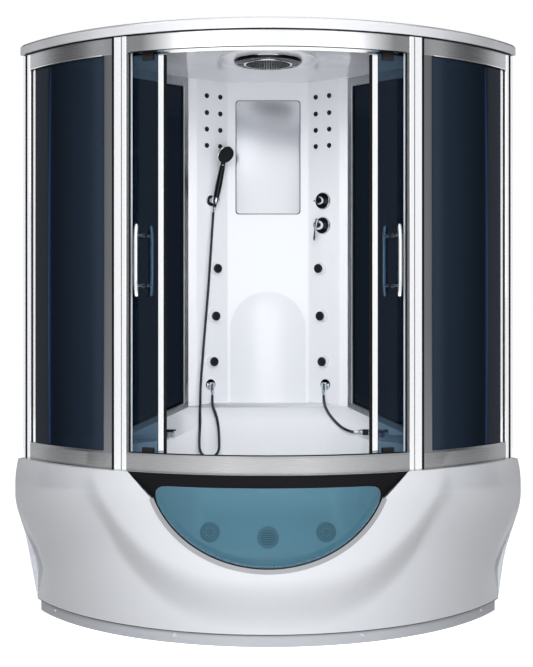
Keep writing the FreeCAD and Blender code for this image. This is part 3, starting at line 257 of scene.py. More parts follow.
@dataclass(frozen=True)
class PaintedLightMetal:
    """A metal finish with painted light and shade: its tone passes through stops along an axis, light where
    it stands for reflected light and dark where it stands for shade.
    """

    name: str
    stops: tuple[tuple[float, float], ...]
    roughness: tuple[float, float] = (0.22, 0.34)
    axis: str = "X"
    span: float = 1.0
    bump: float = 0.10
    tint: tuple[float, float, float] = (1.0, 1.01, 1.03)
    grain: tuple[float, float, float] = (3.0, 3.0, 900.0)
    bump_depth: float = 0.0002

    def build(self) -> bpy.types.Material:
        """Makes the material."""
        nodes = Nodes(self.name)
        away = nodes.sum("ABSOLUTE", nodes.parts("Object")[self.axis])
        share = nodes.add("ShaderNodeMapRange", {"From Max": self.span, "Value": away})
        ramp = nodes.add("ShaderNodeValToRGB", {"Fac": share.outputs["Result"]})
        elements = ramp.color_ramp.elements
        elements.remove(elements[1])
        for index, (position, tone) in enumerate(self.stops):
            element = elements.new(position / self.span) if index else elements[0]
            element.position = position / self.span
            element.color = (*(min(tone * part, 1.0) for part in self.tint), 1.0)
        grain = nodes.noise(self.grain, 4.0)
        shader = nodes.add("ShaderNodeBsdfPrincipled", {
            "Base Color": ramp.outputs["Color"],
            "Roughness": nodes.spread(grain, *self.roughness),
            "Normal": nodes.bump(grain, self.bump, self.bump_depth),
            "Metallic": 1.0,
        })
        return nodes.end(shader.outputs["BSDF"])


@dataclass(frozen=True)
class Glazing:
    """A tinted pane: what passes takes the tint, and the rest is a clear reflection."""

    name: str
    tint: tuple[float, float, float]
    deep: tuple[float, float, float]
    roughness: float = 0.015
    haze: tuple[float, float] = (0.0, 0.0)
    haze_colour: tuple[float, float, float] = (0.5, 0.6, 0.7)
    span: tuple[float, float] = (0.94, 0.55)
    index: float = 1.22
    sheen: tuple[float, float, float] = (0.75, 0.86, 1.0)
    grain: tuple[float, float, float] = (1.2, 1.2, 0.6)

    def build(self) -> bpy.types.Material:
        """Makes the material."""
        nodes = Nodes(self.name)
        tone = nodes.blend(nodes.noise(self.grain, 1.0), self.tint, self.deep)
        clear = nodes.add("ShaderNodeBsdfTransparent", {"Color": tone})
        milk = nodes.add("ShaderNodeBsdfDiffuse", {"Color": (*self.haze_colour, 1.0)})
        limits = dict(zip(("From Min", "From Max", "To Min", "To Max"), (*self.span, *self.haze)))
        away = nodes.sum("ABSOLUTE", nodes.parts("Object")["X"])
        haze = nodes.add("ShaderNodeMapRange", {**limits, "Value": away}, interpolation_type="SMOOTHSTEP")
        body = nodes.layer(haze.outputs["Result"], clear.outputs["BSDF"], milk.outputs["BSDF"])
        gloss = nodes.add("ShaderNodeBsdfAnisotropic",
                          {"Roughness": self.roughness, "Color": (*self.sheen, 1.0)})
        edge = nodes.add("ShaderNodeFresnel", {"IOR": self.index})
        return nodes.end(nodes.layer(edge.outputs["Fac"], body, gloss.outputs["BSDF"]))


class Look(Enum):
    """Every finish of the object."""

    ACRYLIC = Solid("white acrylic", (0.80, 0.82, 0.86), (0.77, 0.79, 0.83), (0.12, 0.20), coat=0.3,
                    bump=0.02, specular=0.35)
    COLUMN = Solid("white column", (0.83, 0.84, 0.88), (0.80, 0.82, 0.86), (0.16, 0.26), coat=0.4, bump=0.02)
    ROOF = Solid("white roof", (0.82, 0.83, 0.86), (0.79, 0.80, 0.84), (0.12, 0.20), coat=0.5, bump=0.02)
    BASE = Solid("base strip", (0.62, 0.64, 0.68), (0.56, 0.58, 0.62), (0.35, 0.5), bump=0.05)
    SATIN = Solid("satin aluminium", (0.78, 0.79, 0.81), (0.70, 0.71, 0.73), (0.22, 0.36), 1.0,
                  (900.0, 900.0, 12.0), 0.08, 0.0002)
    # painted light and shade: the header rail is light in the middle and grey towards its ends, and the
    # bottom rail somewhat lighter in the middle, for the studio light reflected on them
    RAIL = PaintedLightMetal("header rail", ((0.0, 0.95), (0.31, 0.95), (0.45, 0.24), (0.54, 0.25), (0.64, 0.50),
                                (0.93, 0.56)))
    RAIL_LOW = PaintedLightMetal("bottom rail", ((0.0, 0.46), (0.14, 0.50), (0.42, 0.32), (0.54, 0.30), (0.64, 0.34),
                                    (0.93, 0.34)))
    GREY_STRIP = Solid("grey strip", (0.20, 0.205, 0.215), (0.16, 0.165, 0.175), (0.25, 0.40), 1.0,
                       (900.0, 900.0, 10.0), 0.1, 0.0002)
    # painted light: this and the next finish are lighter copies of the satin aluminium, for the light that
    # the posts, door frames and side profiles catch; this one also paints highlights on small parts
    LIT_PROFILE = Solid("bright profile", (0.93, 0.94, 0.95), (0.90, 0.91, 0.93), (0.14, 0.20), 0.75,
                          (300.0, 300.0, 8.0), 0.03)
    SIDE_PROFILE = Solid("side profile", (0.94, 0.95, 0.96), (0.92, 0.93, 0.94), (0.06, 0.09), 0.9,
                         (300.0, 300.0, 8.0), 0.0)
    CHROME = Solid("polished chrome", (0.88, 0.89, 0.91), (0.84, 0.85, 0.87), (0.03, 0.09), 1.0,
                   (30.0, 30.0, 30.0), 0.02)
    BLACK_GLOSS = Solid("gloss black", (0.004, 0.004, 0.005), (0.006, 0.006, 0.008), (0.06, 0.12), coat=0.25,
                        bump=0.02, specular=0.25)
    BAND = Solid("black band", (0.007, 0.007, 0.008), (0.009, 0.009, 0.010), (0.40, 0.50), bump=0.02,
                 specular=0.06)
    BLACK_SATIN = Solid("satin black", (0.010, 0.010, 0.012), (0.018, 0.018, 0.021), (0.28, 0.42),
                        grain=(240.0, 240.0, 240.0), bump=0.12, specular=0.25)
    RUBBER = Solid("black seal", (0.006, 0.006, 0.006), (0.010, 0.010, 0.010), (0.5, 0.7),
                   grain=(300.0, 300.0, 300.0), bump=0.15, specular=0.08)
    # painted reflection: the mirror's tone grows lighter towards its top
    MIRROR = PaintedLightMetal("mirror", ((1.60, 0.82), (1.95, 0.86), (2.09, 0.94)), (0.24, 0.26), "Z", 2.2, 0.0,
                  (1.0, 1.02, 1.08))
    PEWTER = Solid("soft pewter", (0.34, 0.36, 0.38), (0.27, 0.29, 0.31), (0.25, 0.35), 0.3,
                   (40.0, 40.0, 40.0), 0.03)
    TRIM = Solid("window trim", (0.52, 0.53, 0.55), (0.45, 0.46, 0.48), (0.22, 0.32), 0.9,
                 (300.0, 300.0, 300.0), 0.04)
    SURROUND = Solid("window surround", (0.40, 0.41, 0.43), (0.34, 0.35, 0.37), (0.30, 0.42), 0.15,
                     (300.0, 300.0, 300.0), 0.03)
    ROLLER = Solid("hard plastic", (0.75, 0.75, 0.76), (0.68, 0.68, 0.70), (0.3, 0.45), bump=0.05)
    STEEL = Solid("painted steel", (0.10, 0.105, 0.11), (0.07, 0.075, 0.08), (0.4, 0.6),
                  grain=(90.0, 90.0, 90.0), bump=0.15)
    PIPE = Solid("grey pipe", (0.30, 0.32, 0.34), (0.25, 0.27, 0.29), (0.3, 0.45), bump=0.05)
    HOSE = Solid("wound hose", (0.13, 0.133, 0.14), (0.085, 0.088, 0.094), (0.16, 0.30), 1.0,
                 (220.0, 220.0, 220.0), 0.1)
    SEAL = Solid("pale seal", (0.82, 0.87, 0.92), (0.76, 0.81, 0.86), (0.3, 0.45), bump=0.04)
    DOOR_GLASS = Glazing("tinted door glass", (0.46, 0.56, 0.64), (0.42, 0.53, 0.61), haze=(0.02, 0.02),
                         haze_colour=(0.05, 0.08, 0.14))
    FIXED_GLASS = Glazing("tinted fixed glass", (0.22, 0.30, 0.42), (0.18, 0.26, 0.38), haze=(0.06, 0.34),
                          haze_colour=(0.065, 0.105, 0.165))
    WALL_GLASS = Glazing("tinted wall glass", (0.10, 0.12, 0.15), (0.07, 0.09, 0.12), haze=(0.10, 0.10),
                         haze_colour=(0.015, 0.02, 0.03))
    WINDOW = Glazing("teal window glass", (0.46, 0.64, 0.70), (0.43, 0.61, 0.67), haze=(0.14, 0.14),
                     haze_colour=(0.16, 0.38, 0.49))
    SHELF = Glazing("clear shelf glass", (0.80, 0.90, 0.92), (0.74, 0.87, 0.90))


_BUILT: dict[Look, bpy.types.Material] = {}


def material(look: Look) -> bpy.types.Material:
    """The material of a finish, made once."""
    if look not in _BUILT:
        _BUILT[look] = look.value.build()
    return _BUILT[look]


# ---------------------------------------------------------------- shapes


def circle(radius: float, sides: int, z: float = 0.0) -> list[Vector]:
    """A ring of points about local Z."""
    return [
        Vector((radius * math.cos(2 * math.pi * i / sides), radius * math.sin(2 * math.pi * i / sides), z))
        for i in range(sides)
    ]


def stand(name: str, data: bpy.types.ID) -> bpy.types.Object:
    """An object that shows some data, in the scene."""
    item = bpy.data.objects.new(name, data)
    bpy.context.scene.collection.objects.link(item)
    return item


def frame_of(direction: Vector) -> tuple[Vector, Vector, Vector]:
    """Local X, Y and Z for a direction, with Y as near upright as it can be."""
    along = UP.cross(direction)
    along = along.normalized() if along.length > 1e-6 else Vector((1.0, 0.0, 0.0))
    return along, direction.cross(along), direction


@dataclass
class Shape:
    """A mesh under construction: points, faces and where it stands."""

    name: str
    look: Look
    points: list[Vector] = field(default_factory=list)
    faces: list[tuple[int, ...]] = field(default_factory=list)

    def add(self, points: Iterable[Vector], faces: Iterable[Sequence[int]]) -> "Shape":
        """Adds points and the faces that use them."""
        start = len(self.points)
        self.points.extend(points)
        self.faces.extend(tuple(start + index for index in face) for face in faces)
        return self

    def rings(self, rings: Sequence[Sequence[Vector]]) -> "Shape":
        """Skins rings of matching points, and fills the first and the last."""
        count = len(rings[0])
        faces: list[Sequence[int]] = []
        for row in range(len(rings) - 1):
            low, high = row * count, (row + 1) * count
            for i in range(count):
                after = (i + 1) % count
                faces.append((low + i, low + after, high + after, high + i))
        faces.append(tuple(range(count))[::-1])
        faces.append(tuple(range((len(rings) - 1) * count, len(rings) * count)))
        return self.add([point for ring in rings for point in ring], faces)

    def lathe(self, profile: Profile, origin: Vector, direction: Vector, sides: int = 48) -> "Shape":
        """Turns a profile of radius and height about a direction."""
        along, across, axis = frame_of(direction.normalized())
        rings = []
        for radius, height in profile:
            rings.append([origin + along * p.x + across * p.y + axis * height
                          for p in circle(max(radius, POINT_RADIUS), sides)])
        return self.rings(rings)

    def sweep(self, path: Sequence[Vector], radii: Callable[[float], float], sides: int = 16) -> "Shape":
        """Sweeps a round section along a path.

        Args:
            path: the points to follow.
            radii: the radius at a share of the path's points.
            sides: the section's points.

        Returns:
            The shape itself.
        """
        rings, normal = [], None
        for i, point in enumerate(path):
            ahead = (path[min(i + 1, len(path) - 1)] - path[max(i - 1, 0)]).normalized()
            if normal is None:
                normal = frame_of(ahead)[0]
            normal = (normal - ahead * normal.dot(ahead)).normalized()
            across = ahead.cross(normal)
            radius = radii(i / max(len(path) - 1, 1))
            rings.append([point + normal * p.x + across * p.y for p in circle(radius, sides)])
        return self.rings(rings)

    def block(self, centre: Vector, size: Sequence[float],
              axes: Optional[tuple[Vector, Vector, Vector]] = None) -> "Shape":
        """Adds a box by its centre, its size and its axes."""
        axes = axes or (Vector((1, 0, 0)), Vector((0, 1, 0)), UP)
        wide, long, high = (axis * (extent / 2) for axis, extent in zip(axes, size))
        points = [centre + wide * a + long * b + high * c for c in (-1, 1) for b in (-1, 1) for a in (-1, 1)]
        faces = [(0, 2, 3, 1), (4, 5, 7, 6), (0, 1, 5, 4), (2, 6, 7, 3), (0, 4, 6, 2), (1, 3, 7, 5)]
        return self.add(points, faces)

    def arc_bar(self, section: Profile, start: float, end: float, steps: int = 48) -> "Shape":
        """Sweeps a closed section of radius and height along the front arc between two angles."""
        rings = []
        for i in range(steps + 1):
            angle = start + (end - start) * i / steps
            rings.append([polar(radius, angle, z) for radius, z in section])
        return self.rings(rings)

    def mesh(self, bevel: float = 0.0, split: bool = False) -> bpy.types.Mesh:
        """Makes the mesh with its faces outwards.

        Args:
            bevel: the rounding of sharp edges.
            split: whether faces of more than four corners become triangles.

        Returns:
            The mesh.
        """
        mesh = bpy.data.meshes.new(self.name)
        build = bmesh.new()
        vertices = [build.verts.new(point) for point in self.points]
        for face in self.faces:
            build.faces.new([vertices[index] for index in face])
        if split:
            bmesh.ops.triangulate(build, faces=[f for f in build.faces if len(f.verts) > 4])
        bmesh.ops.recalc_face_normals(build, faces=build.faces)
        if bevel:
            round_edges(build, bevel, angle=30, segments=2, profile=0.7)
        build.to_mesh(mesh)
        build.free()
        return mesh

    def build(self, body: str, slot: str, bevel: float = 0.0, smooth: float = 40.0,
              replaces: Sequence[str] = ()) -> bpy.types.Object:
        """Makes the object, rounds its edges, and hangs it on a body.

        Args:
            body: the body that carries it.
            slot: the record's material slot; not used.
            bevel: the rounding of sharp edges.
            smooth: faces that meet under this angle are shaded smooth.
            replaces: the model's nodes that it stands for.

        Returns:
            The object.
        """
        return settle(self.name, self.mesh(bevel), self.look, body, smooth, replaces)


def turned(name: str, look: Look, profile: Profile, place: Vector, facing: Vector, sides: int,
           body: str, slot: str, replaces: Sequence[str] = ()) -> None:
    """Makes a piece that is turned about a direction.

    Args:
        name: the piece's name.
        look: its finish.
        profile: its radii and heights.
        place: where its axis starts.
        facing: its axis.
        sides: the points round it.
        body: the body that carries it.
        slot: the record's material slot.
        replaces: the model's nodes that it stands for.
    """
    Shape(name, look).lathe(profile, place, facing, sides).build(body, slot, replaces=replaces)


def bar_section(radii: Sequence[float], heights: Sequence[float]) -> Profile:
    """The section of a plain bar along the arc, from its two radii and its two heights."""
    return ((radii[0], heights[0]), (radii[1], heights[0]), (radii[1], heights[1]), (radii[0], heights[1]))


def round_edges(build: bmesh.types.BMesh, offset: float, angle: float, segments: int, profile: float) -> None:
    """Bevels the edges that are sharper than an angle.

    Args:
        build: the mesh.
        offset: the bevel's width.
        angle: the least angle between an edge's faces, in degrees.
        segments: the bevel's steps.
        profile: its roundness.
    """
    sharp = [e for e in build.edges if e.is_manifold and e.calc_face_angle(0.0) > math.radians(angle)]
    bmesh.ops.bevel(build, geom=sharp, offset=offset, offset_type="OFFSET", segments=segments,
                    profile=profile, affect="EDGES", clamp_overlap=True)


def plain_copy(item: bpy.types.Object) -> bpy.types.Mesh:
    """The evaluated mesh of an object, with its modifiers taken in."""
    bpy.context.view_layer.update()
    graph = bpy.context.evaluated_depsgraph_get()
    return bpy.data.meshes.new_from_object(item.evaluated_get(graph), preserve_all_data_layers=True,
                                           depsgraph=graph)


def settle(name: str, mesh: bpy.types.Mesh, look: Look, body: str, smooth: float = 40.0,
           replaces: Sequence[str] = ()) -> bpy.types.Object:
    """Shades a finished mesh and hangs it on a body.

    Args:
        name: the piece's name.
        mesh: the finished mesh.
        look: its finish.
        body: the body that carries it.
        smooth: faces that meet under this angle are shaded smooth.
        replaces: the model's nodes that it stands for.

    Returns:
        The piece.
    """
    mesh.polygons.foreach_set("use_smooth", [True] * len(mesh.polygons))
    mesh.set_sharp_from_angle(angle=math.radians(smooth))
    mesh.materials.clear()
    mesh.materials.append(material(look))
    item = stand(name, mesh)
    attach(item, body)
    if replaces:
        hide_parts(*replaces)
    return item


# ---------------------------------------------------------------- geometry nodes


class Tree(Graph):
    """A geometry node tree with named inputs that ends in Realize Instances and Set Material."""

    def __init__(self, name: str, **inputs: float) -> None:
        """Makes the tree with a geometry input and one float input for each size."""
        super().__init__(bpy.data.node_groups.new(name, "GeometryNodeTree"))
        self.identifiers: dict[str, str] = {}
        face = self.tree.interface
        face.new_socket("Geometry", in_out="INPUT", socket_type="NodeSocketGeometry")
        for key, value in inputs.items():
            socket = face.new_socket(key, in_out="INPUT", socket_type="NodeSocketFloat")
            socket.default_value = value
            self.identifiers[key] = socket.identifier
        face.new_socket("Geometry", in_out="OUTPUT", socket_type="NodeSocketGeometry")
        self.enter = self.add("NodeGroupInput").outputs

    def end(self, geometry: bpy.types.NodeSocket, look: Look) -> "Tree":
        """Realizes the instances, sets the material and closes the tree."""
        real = self.add("GeometryNodeRealizeInstances", {"Geometry": geometry})
        dressed = {"Geometry": real.outputs["Geometry"], "Material": material(look)}
        result = self.add("GeometryNodeSetMaterial", dressed).outputs["Geometry"]
        self.add("NodeGroupOutput", {"Geometry": result})
        return self

    def run(self, item: bpy.types.Object, **sizes: float) -> bpy.types.Mesh:
        """The tree's result on an object as a plain mesh; the modifier is removed again."""
        modifier = item.modifiers.new("repeat", "NODES")
        modifier.node_group = self.tree
        for key, value in sizes.items():
            modifier[self.identifiers[key]] = value
        mesh = plain_copy(item)
        item.modifiers.remove(modifier)
        return mesh


@dataclass
class Studs:
    """Small turned shapes that stand on given places, each facing its own way."""

    name: str
    look: Look
    sides: int = 12
    places: list[tuple[Vector, Vector]] = field(default_factory=list)

    def tree(self) -> Tree:
        """A cone with named sizes on each point, turned to its stored direction."""
        made = Tree(self.name, Foot=0.005, Top=0.004, Height=0.004)
        cone = made.add("GeometryNodeMeshCone", {
            "Vertices": self.sides, "Radius Bottom": made.enter["Foot"], "Radius Top": made.enter["Top"],
            "Depth": made.enter["Height"],
        })
        facing = made.add("GeometryNodeInputNamedAttribute", {"Name": "facing"}, data_type="FLOAT_VECTOR")
        turn = made.add("FunctionNodeAlignRotationToVector", {"Vector": facing.outputs["Attribute"]},
                        axis="Z")
        spread = made.add("GeometryNodeInstanceOnPoints", {
            "Points": made.enter["Geometry"], "Instance": cone.outputs["Mesh"],
            "Rotation": turn.outputs["Rotation"],
        })
        return made.end(spread.outputs["Instances"], self.look)

    def build(self, body: str, slot: str, foot: float, top: float, height: float,
              replaces: Sequence[str] = ()) -> bpy.types.Object:
        """Makes the studs as one piece.

        Args:
            body: the body that carries them.
            slot: the record's material slot; not used.
            foot: the radius where a stud stands.
            top: the radius at its end.
            height: its height.
            replaces: the model's nodes that they stand for.

        Returns:
            The piece.
        """
        mesh = bpy.data.meshes.new(self.name + "_places")
        mesh.from_pydata([place for place, _ in self.places], [], [])
        facing = mesh.attributes.new("facing", "FLOAT_VECTOR", "POINT")
        for row, (_, direction) in zip(facing.data, self.places):
            row.vector = direction
        holder = stand(self.name + "_places", mesh)
        made = self.tree().run(holder, Foot=foot, Top=top, Height=height)
        bpy.data.objects.remove(holder)
        return settle(self.name, made, self.look, body, replaces=replaces)


# ---------------------------------------------------------------- carried-over nodes


@dataclass
class Dressing:
    """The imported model's own nodes: each gets its finish, and the visible ones a smoother copy."""

    nodes: dict[str, bpy.types.Object]
    plain: dict[str, Look] = field(default_factory=lambda: {
        "support_frame": Look.STEEL, "levelling_feet": Look.STEEL, "circulation_pump": Look.BLACK_SATIN,
        "pipework": Look.PIPE, "roof_gasket": Look.RUBBER, "waste_plug": Look.CHROME,
        "roller_left_front": Look.ROLLER, "roller_left_rear": Look.ROLLER,
        "roller_right_front": Look.ROLLER, "roller_right_rear": Look.ROLLER,
    })
    refined: tuple[tuple[str, Look, str, float, float], ...] = (
        ("base_strip", Look.BASE, "base", 0.0, 30),
        ("tub_shell", Look.ACRYLIC, "acrylic", 0.0, 38),
        ("roof_cover", Look.ROOF, "acrylic", 0.0, 38),
        ("header_rail", Look.RAIL, "satin_aluminium", 0.0008, 25),
        ("bottom_rail", Look.RAIL_LOW, "satin_aluminium", 0.0008, 25),
        ("front_post_left", Look.LIT_PROFILE, "satin_aluminium", 0.0015, 25),
        ("front_post_right", Look.LIT_PROFILE, "satin_aluminium", 0.0015, 25),
        ("wall_profiles", Look.SIDE_PROFILE, "satin_aluminium", 0.0012, 25),
        ("wall_frames", Look.SATIN, "satin_aluminium", 0.0012, 30),
        ("wall_glass", Look.WALL_GLASS, "tinted_glass", 0.0, 30),
        ("fixed_glass_left", Look.FIXED_GLASS, "tinted_glass", 0.0006, 25),
        ("fixed_glass_right", Look.FIXED_GLASS, "tinted_glass", 0.0006, 25),
        ("door_left_glass", Look.DOOR_GLASS, "tinted_glass", 0.0006, 25),
        ("door_right_glass", Look.DOOR_GLASS, "tinted_glass", 0.0006, 25),
        ("door_left_frame", Look.LIT_PROFILE, "door_aluminium", 0.0008, 25),
        ("door_right_frame", Look.LIT_PROFILE, "door_aluminium", 0.0008, 25),
        ("window_band", Look.BAND, "black_panel", 0.0, 30),
        ("window_pane", Look.WINDOW, "apron_glass", 0.0, 30),
        ("window_trim", Look.TRIM, "satin_aluminium", 0.0, 35),
        ("basin_fittings", Look.PEWTER, "chrome", 0.0006, 30),
        ("wall_fittings", Look.CHROME, "chrome", 0.0005, 30),
        ("deck_fittings", Look.CHROME, "chrome", 0.0005, 30),
        ("jet_collars", Look.ACRYLIC, "acrylic", 0.0008, 35),
        ("glass_shelves", Look.SHELF, "clear_glass", 0.0006, 30),
        ("shelf_rods", Look.CHROME, "chrome", 0.0003, 35),
    )
    weld: float = 2e-6
    flat_angle: float = 0.4
    hanger_span: tuple[float, float] = (20.0, 46.4)

    def dress(self) -> None:
        """Gives the hidden nodes their finish and the visible ones their smoother copy."""
        for name, look in self.plain.items():
            item = self.nodes[name]
            item.data.materials.clear()
            item.data.materials.append(material(look))
        for name, look, slot, bevel, smooth in self.refined:
            piece = self.refine(name, look, bevel, smooth)
            if name.startswith("door") and name.endswith("frame"):
                self.darken(piece)
        LOG.info("dressed %d nodes", len(self.plain) + len(self.refined))

    def refine(self, name: str, look: Look, bevel: float, smooth: float) -> bpy.types.Object:
        """Replaces a node by a copy with joined faces, rounded edges and smooth shading.

        Args:
            name: the node.
            look: its finish.
            bevel: the rounding of sharp edges.
            smooth: faces that meet under this angle are shaded smooth.

        Returns:
            The copy.
        """
        source = self.nodes[name]
        mesh = source.data.copy()
        build = bmesh.new()
        build.from_mesh(mesh)
        bmesh.ops.remove_doubles(build, verts=build.verts, dist=self.weld)
        bmesh.ops.dissolve_limit(build, angle_limit=math.radians(self.flat_angle), verts=build.verts,
                                 edges=build.edges)
        if bevel:
            round_edges(build, bevel, angle=40, segments=1, profile=0.5)
        build.to_mesh(mesh)
        build.free()
        return settle(name + "_face", mesh, look, source["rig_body"], smooth, (name,))

    def darken(self, piece: bpy.types.Object) -> None:
        """Gives a door frame's hangers and guides, which stand between its two stiles, a black finish."""
        piece.data.materials.append(material(Look.BLACK_SATIN))
        for face in piece.data.polygons:
            centre = piece.matrix_world @ face.center
            angle = abs(math.degrees(math.atan2(centre.x, ARC_Y - centre.y)))
            if self.hanger_span[0] < angle < self.hanger_span[1]:
                face.material_index = 1


# ---------------------------------------------------------------- hoses


@dataclass
class Hose:
    """A wound metal hose on one smooth curve, with a ferrule at each end."""

    name: str
    node: str
    length: float
    points: tuple[tuple[float, float, float], ...]
    diameter: float = 0.012
    pitch: float = 0.0042
    core: float = 0.0054
    rib: float = 0.0007
    ferrule: float = 0.0082
    ferrule_length: float = 0.024
    core_sides: int = 12
    rib_sides: int = 4
    order: int = 3
    resolution: int = 16
    turn_start: float = 0.075
    turn_end: float = 0.02

    def route(self) -> bpy.types.Object:
        """The route's own NURBS spline as a curve object."""
        curve = bpy.data.curves.new(self.name + "_route", "CURVE")
        curve.dimensions = "3D"
        spline = curve.splines.new("NURBS")
        spline.points.add(len(self.points) - 1)
        for point, place in zip(spline.points, self.points):
            point.co = (*place, 1.0)
        spline.order_u, spline.resolution_u = self.order, self.resolution
        spline.use_endpoint_u = True
        return stand(self.name + "_route", curve)

    def line(self, item: bpy.types.Object) -> list[Vector]:
        """The points that the spline itself gives."""
        mesh = plain_copy(item)
        line = [vertex.co.copy() for vertex in mesh.vertices]
        bpy.data.meshes.remove(mesh)
        return line

    def tree(self) -> Tree:
        """A core tube with a rib at every turn of the winding."""
        made = Tree(self.name + "_winding", Core=0.005, Rib=0.0009, Pitch=0.004)
        route = made.enter["Geometry"]
        core, section = (
            made.add("GeometryNodeCurvePrimitiveCircle",
                     {"Resolution": sides, "Radius": radius}).outputs["Curve"]
            for sides, radius in ((self.core_sides, made.enter["Core"]), (self.rib_sides, made.enter["Rib"]))
        )
        tube = made.add("GeometryNodeCurveToMesh", {"Fill Caps": True, "Curve": route, "Profile Curve": core})
        rib = made.add("GeometryNodeCurveToMesh", {"Curve": core, "Profile Curve": section})
        stations = made.add("GeometryNodeCurveToPoints", {"Curve": route, "Length": made.enter["Pitch"]},
                            mode="LENGTH").outputs
        turns = made.add("GeometryNodeInstanceOnPoints", {
            "Points": stations["Points"], "Instance": rib.outputs["Mesh"], "Rotation": stations["Rotation"],
        })
        both = made.add("GeometryNodeJoinGeometry", {"Geometry": tube.outputs["Mesh"]})
        made.tree.links.new(turns.outputs["Instances"], both.inputs["Geometry"])
        return made.end(both.outputs["Geometry"], Look.HOSE)

    def build(self, body: str, other: Optional[str] = None) -> bpy.types.Object:
        """Args:
            body: the body that carries it.
            other: the body that its first end turns with, if that is another one.

        Returns:
            The hose.
        """
        route = self.route()
        line = self.line(route)
        mesh = self.tree().run(route, Core=self.core, Rib=self.rib, Pitch=self.pitch)
        bpy.data.objects.remove(route)
        long, wide = self.ferrule_length, self.ferrule
        profile = ((0, 0), (wide, 0), (wide, long * 0.45), (wide * 0.93, long * 0.5),
                   (wide * 0.93, long * 0.62), (wide * 0.84, long * 0.68), (wide * 0.74, long), (0, long))
        for key, order in (("first", line), ("last", line[::-1])):
            direction = (order[1] - order[0]).normalized()
            shape = Shape(f"{self.name}_ferrule_{key}", Look.CHROME).lathe(profile, order[0], direction, 24)
            shape.build(other if other and key == "first" else body, "chrome", 0.0003)
        mesh.polygons.foreach_set("use_smooth", [True] * len(mesh.polygons))
        mesh.materials.clear()
        mesh.materials.append(material(Look.HOSE))
        hose = stand(self.name, mesh)
        if other:
            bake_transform(hose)
        else:
            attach(hose, body)
        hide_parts(self.node)
        LOG.info("%s follows %d points", self.name, len(line))
        return hose


SHOWER_ROUTE = (
    (-0.2332, 0.3776, 1.617), (-0.2385, 0.3838, 1.5923), (-0.24, 0.3843, 1.562), (-0.243, 0.3783, 1.512),
    (-0.247, 0.3703, 1.445), (-0.252, 0.3643, 1.36), (-0.26, 0.3573, 1.24), (-0.271, 0.3513, 1.11),
    (-0.281, 0.3473, 0.98), (-0.288, 0.3443, 0.888), (-0.292, 0.3373, 0.82), (-0.2915, 0.3213, 0.768),
    (-0.2905, 0.2863, 0.739), (-0.288, 0.2413, 0.72), (-0.285, 0.1983, 0.71), (-0.2835, 0.1643, 0.69),
    (-0.286, 0.1513, 0.634), (-0.285, 0.1483, 0.582), (-0.261, 0.1473, 0.558), (-0.227, 0.1473, 0.558),
    (-0.203, 0.1483, 0.582), (-0.203, 0.1523, 0.632), (-0.207, 0.1683, 0.684), (-0.214, 0.2023, 0.714),
    (-0.222, 0.2483, 0.73), (-0.232, 0.2983, 0.744), (-0.24, 0.3443, 0.757), (-0.2426, 0.3763, 0.77),
    (-0.2426, 0.3904, 0.792), (-0.2426, 0.3904, 0.818),
)
BATH_ROUTE = (
    (0.2426, 0.3904, 0.818), (0.2426, 0.3904, 0.792), (0.2428, 0.3763, 0.77), (0.245, 0.3443, 0.757),
    (0.251, 0.2983, 0.741), (0.263, 0.2513, 0.722), (0.281, 0.2043, 0.702), (0.303, 0.1593, 0.683),
    (0.326, 0.1263, 0.673), (0.352, 0.1113, 0.666), (0.378, 0.1113, 0.666),
)


# ---------------------------------------------------------------- apron


def smooth_step(value: float) -> float:
    """An even rise from 0 to 1."""
    value = min(max(value, 0.0), 1.0)
    return value * value * (3 - 2 * value)


